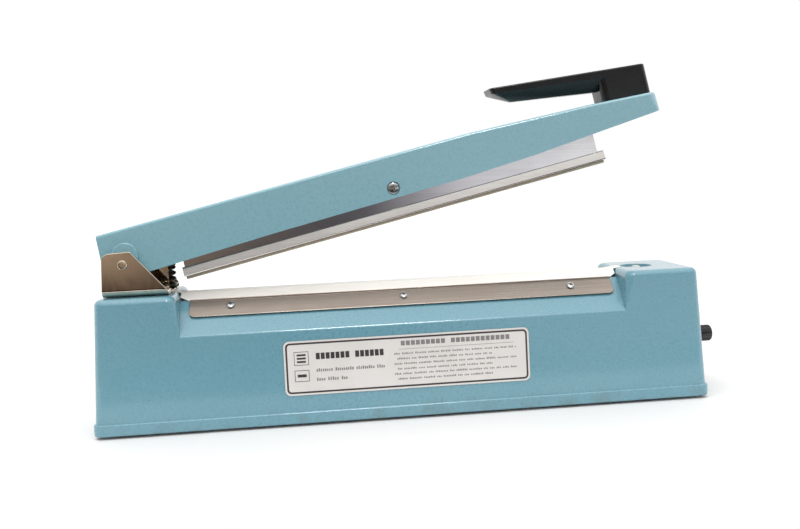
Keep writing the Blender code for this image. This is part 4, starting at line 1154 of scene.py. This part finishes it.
def blocks(words, start, end, low, height, pitch, word=(3, 8)):
    """A row of plain blocks as long as letters, in groups as long as words."""
    row = []
    at = start
    left = words.randint(*word)
    while at < end - pitch * 0.5:
        if left == 0:
            left = words.randint(*word)
        else:
            size = height * words.choice((0.72, 1, 0.8))
            row.append(printed_bar(at, low, pitch * words.uniform(0.58, 0.74), size))
            left -= 1
        at += pitch
    return row


def dark_print():
    """The label's border, two framed signs and a title, all of plain bars."""
    shapes = [printed(frame_line(0.0013, 0.0031), [frame_line(0.0026, 0.002)])]
    left = -0.0818
    right = left + 0.0104
    line = 0.0004
    for low, high in ((0.002, 0.0118), (-0.0097, -0.0015)):
        inner = rectangle(left + line, low + line, right - line, high - line)
        shapes.append(printed(rectangle(left, low, right, high), [inner]))
    shapes += [printed_bar(left + 0.002, low, 0.0064, 0.0014) for low in (0.0038, 0.0062, 0.0086)]
    shapes.append(printed_bar(left + 0.002, -0.0066, 0.0064, 0.0021))
    return shapes + heading(14, 7, TITLE_LEFT, 0.00352, 0.0057, 0.0028, 0.0046)


def grey_print():
    """The lines under the title, and beside them a heading and six rows of words, all of plain blocks."""
    words = random.Random(11)
    shapes = blocks(words, TITLE_LEFT, TITLE_LEFT + 0.049, -0.0032, 0.0024, 0.0015, (5, 9))
    shapes += blocks(words, TITLE_LEFT, TITLE_LEFT + 0.023, -0.0098, 0.0024, 0.0016, (4, 6))
    shapes += heading(22, 9, -0.0049, 0.00365, 0.0118, 0.0029, 0.0034)
    shapes.append(printed_bar(-0.0065, 0.0091, 0.084, 0.0003))
    for row in range(6):
        indent, short = ((0, 0), (0.0022, 0.018))[row % 2]
        shapes += blocks(words, -0.0101 + indent, 0.08 - short, 0.0054 - row * 0.00366, 0.0014, 0.00118)
    return shapes


def label():
    """The film label, with a border line and blank bars where a real one carries print."""
    x, z = LABEL_CENTRE
    surface = -wall_half(z)[1] - GAP
    place = BASE @ Matrix.Translation((x, surface, z)) @ Matrix.Rotation(-math.atan(DRAFT), 4, "X")
    film = slab(frame_line(0, 0.004), -0.0003, 0, ALONG_Y)
    soften(film, 0.00008, 2, lambda a, b: max(a.y, b.y) < -0.0002)
    show("label_plate", film, LABEL_FILM, place=place, name="label_film")
    for tone, shapes, ink in (("dark", dark_print(), DARK_INK), ("grey", grey_print(), GREY_INK)):
        show(None, finished(opened(*shapes)), ink, place=place, name=f"label_print_{tone}")


# --- arm ---


def drafted(mesh):
    """Leans the arm's side walls in towards its top."""
    belly = ARM_BELLY[-1][1]
    for vertex in mesh.vertices:
        vertex.co.y *= 1 - ARM_DRAFT * (vertex.co.z - belly)
    return mesh


def on_arm_top(a, b):
    """True for the edges between the arm's top and its sides and nose."""
    crosses = abs(a.x - b.x) < NEAR and abs(a.y - b.y) > 0.01
    return min(a.z, b.z) > 0.015 and (a.x > ARM_NOSE[0] - 0.0002 or not crosses)


def arm_shell():
    """The cast arm: a deep inverted channel with a soft nose and round bosses at the pin."""
    heel = [(-0.01, -0.0098, 0.003), (-0.0148, 0.001, 0.004)]
    corners = [(x, z, 0) for x, z in (*ARM_TOP, ARM_NOSE, *ARM_BELLY)] + heel
    outside = drafted(slab(rounded(corners, 5), -ARM_HALF_WIDTH, ARM_HALF_WIDTH, ALONG_Y))
    soften(outside, 0.009, 9, upright(0.005, ARM_NOSE[0] - 0.0002))
    soften(outside, 0.002, 6, on_arm_top)
    radius, reach = ARM_BOSS
    lug = bmesh.new()
    for centre, size in (((0.0029, 0.0057), radius), ((0, 0), radius - 0.0004)):
        for x, z in arc(centre, size, 0, 354, 59):
            for y in (-reach, reach):
                lug.verts.new((x, y, z))
    bmesh.ops.convex_hull(lug, input=lug.verts[:])
    lug = cleaned(finished(lug))
    soften(lug, 0.0008, 4, lambda a, b: a.y * b.y > 0)

    under = [(x, z - ARM_WALL) for x, z in ARM_TOP]
    left = ARM_TOP[0][0] + ARM_WALL
    right = ARM_NOSE[0] - ARM_WALL
    inner = [(left, under[0][1]), *under[1:3], (right, under[3][1]), (right, -0.03), (left, -0.03)]
    half = ARM_HALF_WIDTH - ARM_WALL
    cavity = drafted(slab(inner, -half, half, ALONG_Y))
    soften(cavity, CORNER, 6, upright(0.005, right - 0.0002))
    channel = carved(outside, [cavity], [lug])

    seat = hole(-0.1712 - HINGE.x + 0.0001, 0, -0.008, 0.0235, 0.0046, 40)
    strike_x = PLUNGER_X - HINGE.x
    strike = box((strike_x - 0.005, -0.005, -0.008), (strike_x + 0.004, 0.005, 0.0235))
    x, z = PIVOT
    cuts = [hole_through(0, 0, -0.04, 0.04, 0.0029, 40), hole_through(x, z, -0.04, 0.04, 0.0024, 32)]
    cuts += [hole_through(x, z, side * 0.0216, side * 0.04, 0.00485, 64) for side in (-1, 1)]
    cuts += [hole(x, 0, 0.005, 0.04, 0.0021, 24) for x in HANDLE_SCREW_X]
    mesh = carved(channel, cuts, [seat, strike])
    # The arm wears the lighter enamel copy; its extra lightness is painted light.
    show("arm_casting", mesh, LIT_ARM_PAINT, "arm", ARM, name="arm_shell")


def arm_top_height(x):
    (x0, z0), (x1, z1) = ARM_TOP[2:4]
    return z0 + (z1 - z0) * (x - x0) / (x1 - x0)


def handle():
    """The moulded handle: a block on the arm's nose, and a grip with a low rim over a tapering keel."""
    start, end = HANDLE_BLOCK
    half = HANDLE_HALF_WIDTH
    keel = 0.005
    tip = 0.2888
    nose = 0.0038
    inside = start + 0.007
    fall = math.tan(math.radians(5.72))

    def top(x):
        return 0.0526 - fall * (x - tip)

    def at_top(a, b):
        return min(a.z - top(a.x), b.z - top(b.x)) > -NEAR

    shape = bmesh.new()
    for side in (-1, 1):
        for x, y in arc((tip + nose, half - nose), nose, 180, 90, 10):
            shape.verts.new((x, side * y, top(x)))
            shape.verts.new((x + 0.0008 * (tip + nose - x) / nose, side * y, top(x) - 0.0044))
        shape.verts.new((inside, side * half, top(inside)))
        shape.verts.new((inside, side * half, top(inside) - 0.0058))
        shape.verts.new((tip + 0.0035, side * keel * 0.25, top(tip) - 0.0073))
        shape.verts.new((0.3045, side * keel * 0.6, 0.0391))
        shape.verts.new((inside, side * keel, 0.0281))
    bmesh.ops.convex_hull(shape, input=shape.verts[:])
    grip = soften(cleaned(finished(shape)), 0.001, 4, at_top)
    lower = [(x, arm_top_height(x) + GAP) for x in (start, end)]
    block = slab([*lower, (end, top(end)), (start, top(start) - 0.00004)], -half, half, ALONG_Y)
    soften(block, 0.0052, 8, upright(0.01))
    soften(block, 0.001, 4, at_top)
    wells = [hole(x, 0, 0.015, 0.033, 0.0019, 24) for x in HANDLE_SCREW_X]
    show("handle", carved(block, wells, [grip]), BLACK_PLASTIC, "arm", ARM)
    for number, x in enumerate(HANDLE_SCREW_X, 1):
        spot = (x, 0, arm_top_height(x) - ARM_WALL - 0.0008)
        screw(f"handle_screw_{number}", spot, (0, 0, -1), HANDLE_SCREW, number, "arm", ARM)


def press_bar_pivot():
    """The screw that the bar rocks on, and its spacers."""
    x, z = PIVOT
    screw("pivot_screw", (x, -0.0219, z), (0, -1, 0), PIVOT_SCREW, 0.2, "arm", ARM)
    corners = [(0.0024, 0.0192, 0), (0.0046, 0.0192, 0.0003), (0.0046, 0.0072, 0.0003), (0.0024, 0.0072, 0)]
    for side, word in ((-1, "front"), (1, "back")):
        spacer = lathed(corners, 3, (x, 0, z), (0, side, 0), 48, ring=True)
        show(f"pivot_spacer_{word}", spacer, ALUMINIUM, "arm", ARM)


def press_bar():
    """The extrusion: two webs above a bead that holds the rubber in its slot."""
    pivot_x, pivot_z = PIVOT
    bottom = RUBBER_BOTTOM + 0.0025
    shoulder = BAR_SHOULDER
    top = 0.0065 + pivot_z
    key = bottom + 0.002
    half = [(0.0042, key, 0.0002), (0.0042, bottom, 0.0002), (0.0083, bottom, 0.0004)]
    half += [(0.0085, bottom + 0.0008, 0.0004), (0.0073, shoulder, 0.0005), (0.0067, shoulder, 0.0002)]
    half += [(0.0064, shoulder - 0.0003, 0.0002), (0.0064, top, 0.0003), (0.0048, top, 0.0003)]
    half.append((0.0048, shoulder - 0.0016, 0.0004))
    start, end = PRESS_BAR
    bar = beam(half, start, end)
    cuts = []
    for x_low, x_high in ((start - 0.01, start + 0.002), (end - 0.0045, end + 0.01)):
        cuts.append(box((x_low, -0.02, shoulder + 0.0004), (x_high, 0.02, top + 0.01)))
    cuts.append(hole_through(pivot_x, pivot_z, -0.02, 0.02, 0.0023, 32))
    cuts.append(box((0.3046, -0.007, -0.0108), (0.3052, -0.0062, -0.0078)))
    show("press_bar", carved(bar, cuts), ALUMINIUM, "press_bar", ARM)

    low = RUBBER_BOTTOM
    neck = bottom - GAP
    half = [(0.004, low, 0.0006), (0.0058, low + 0.0006, 0.0006), (0.0062, low + 0.0012, 0.0003)]
    half += [(0.0062, neck, 0.0003), (0.0038, neck, 0), (0.0038, key - GAP, 0.0004)]
    rubber = beam(half, start + 0.001, end - 0.001)
    show("silicone_strip", rubber, SILICONE, "press_bar", ARM)


# --- stage ---


def studio_world():
    """A white room that is dark behind the camera, towards its left, for the metals to mirror."""
    world = bpy.data.worlds.new("surround")
    world.use_nodes = True
    nodes = Nodes(world.node_tree)
    x, y, z = nodes.axes(nodes.add("TexCoord").outputs["Generated"])
    across = [(-0.22, (0.46, 0.37, 0.29)), (-0.15, (0.24, 0.19, 0.15)), (-0.05, (0.1, 0.095, 0.105))]
    across += [(0.07, (0.06, 0.06, 0.07)), (0.17, (0.7, 0.7, 0.76)), (0.3, (0.97, 0.99, 1.03))]
    near = nodes.ramp(nodes.math("ADD", x, 0.5), *((side + 0.5, color) for side, color in across))

    def blended(room, axis, low, high, color):
        return nodes.mix(nodes.spread(axis, low, high, blend="SMOOTHSTEP"), room, color)

    near = blended(near, z, -0.075, -0.118, (0.06, 0.04, 0.032))
    near = blended(near, z, 0.065, 0.095, (0.07, 0.065, 0.065))
    near = blended(near, z, 0.16, 0.45, (0.98, 0.96, 0.93))
    room = blended(WHITE, y, 0, -0.5, near)
    room = blended(room, z, 0.7, 0.93, (1.65, 1.62, 1.6))
    seen = nodes.add("LightPath").outputs["Is Camera Ray"]
    nodes.put(nodes.mix(seen, room, WHITE), nodes.tree.nodes["Background"].inputs["Color"])
    bpy.context.scene.world = world


def stage():
    """A pale floor, a white surround, three suns, and the camera at the picture's viewpoint."""
    bpy.ops.mesh.primitive_plane_add(size=12, location=(0, 5.78, 0))
    floor = bpy.context.object
    floor.name = "floor"
    floor.data.materials.append(Look("pale_floor", (0.74, 0.74, 0.74), 0.6).material)

    studio_world()
    for name, ray, energy, spread, mirrored in (
        ("key_light", (0.25, 0.32, -0.91), 1.3, 50, False),
        ("front_light", (-0.3, 0.9, -0.31), 0.72, 70, False),
        ("edge_light", (-0.05, 0.64, -0.77), 1.25, 12, True),
    ):
        light = bpy.data.lights.new(name, "SUN")
        light.energy = energy
        light.angle = math.radians(spread)
        sun = holder_of(light, name)
        sun.rotation_euler = Vector(ray).to_track_quat("-Z", "Y").to_euler()
        sun.visible_glossy = mirrored
        sun.visible_diffuse = not mirrored

    yaw, pitch, roll = (math.radians(angle) for angle in CAMERA_TURN)
    ahead = Vector((math.sin(yaw) * math.cos(pitch), math.cos(yaw) * math.cos(pitch), -math.sin(pitch)))
    camera_data = bpy.data.cameras.new("camera")
    camera_data.sensor_width = 36
    camera_data.lens = CAMERA_LENS
    camera_data.clip_start = 0.01
    camera = holder_of(camera_data, "camera")
    camera.location = CAMERA_PLACE
    level = ahead.to_track_quat("-Z", "Y").to_matrix().to_4x4()
    camera.rotation_euler = (level @ Matrix.Rotation(roll, 4, "Z")).to_euler()
    bpy.context.scene.camera = camera
    bpy.context.scene.view_settings.view_transform = "Standard"


# --- assembly ---

base_shell()
underside()
sealing_line()
hinge_bracket()
spring_guard()
spring = return_spring()
inner_parts()
timer_knob()
lamp()
cord_inlet()
label()
arm_shell()
handle()
press_bar_pivot()
press_bar()

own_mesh(spring)
stage()
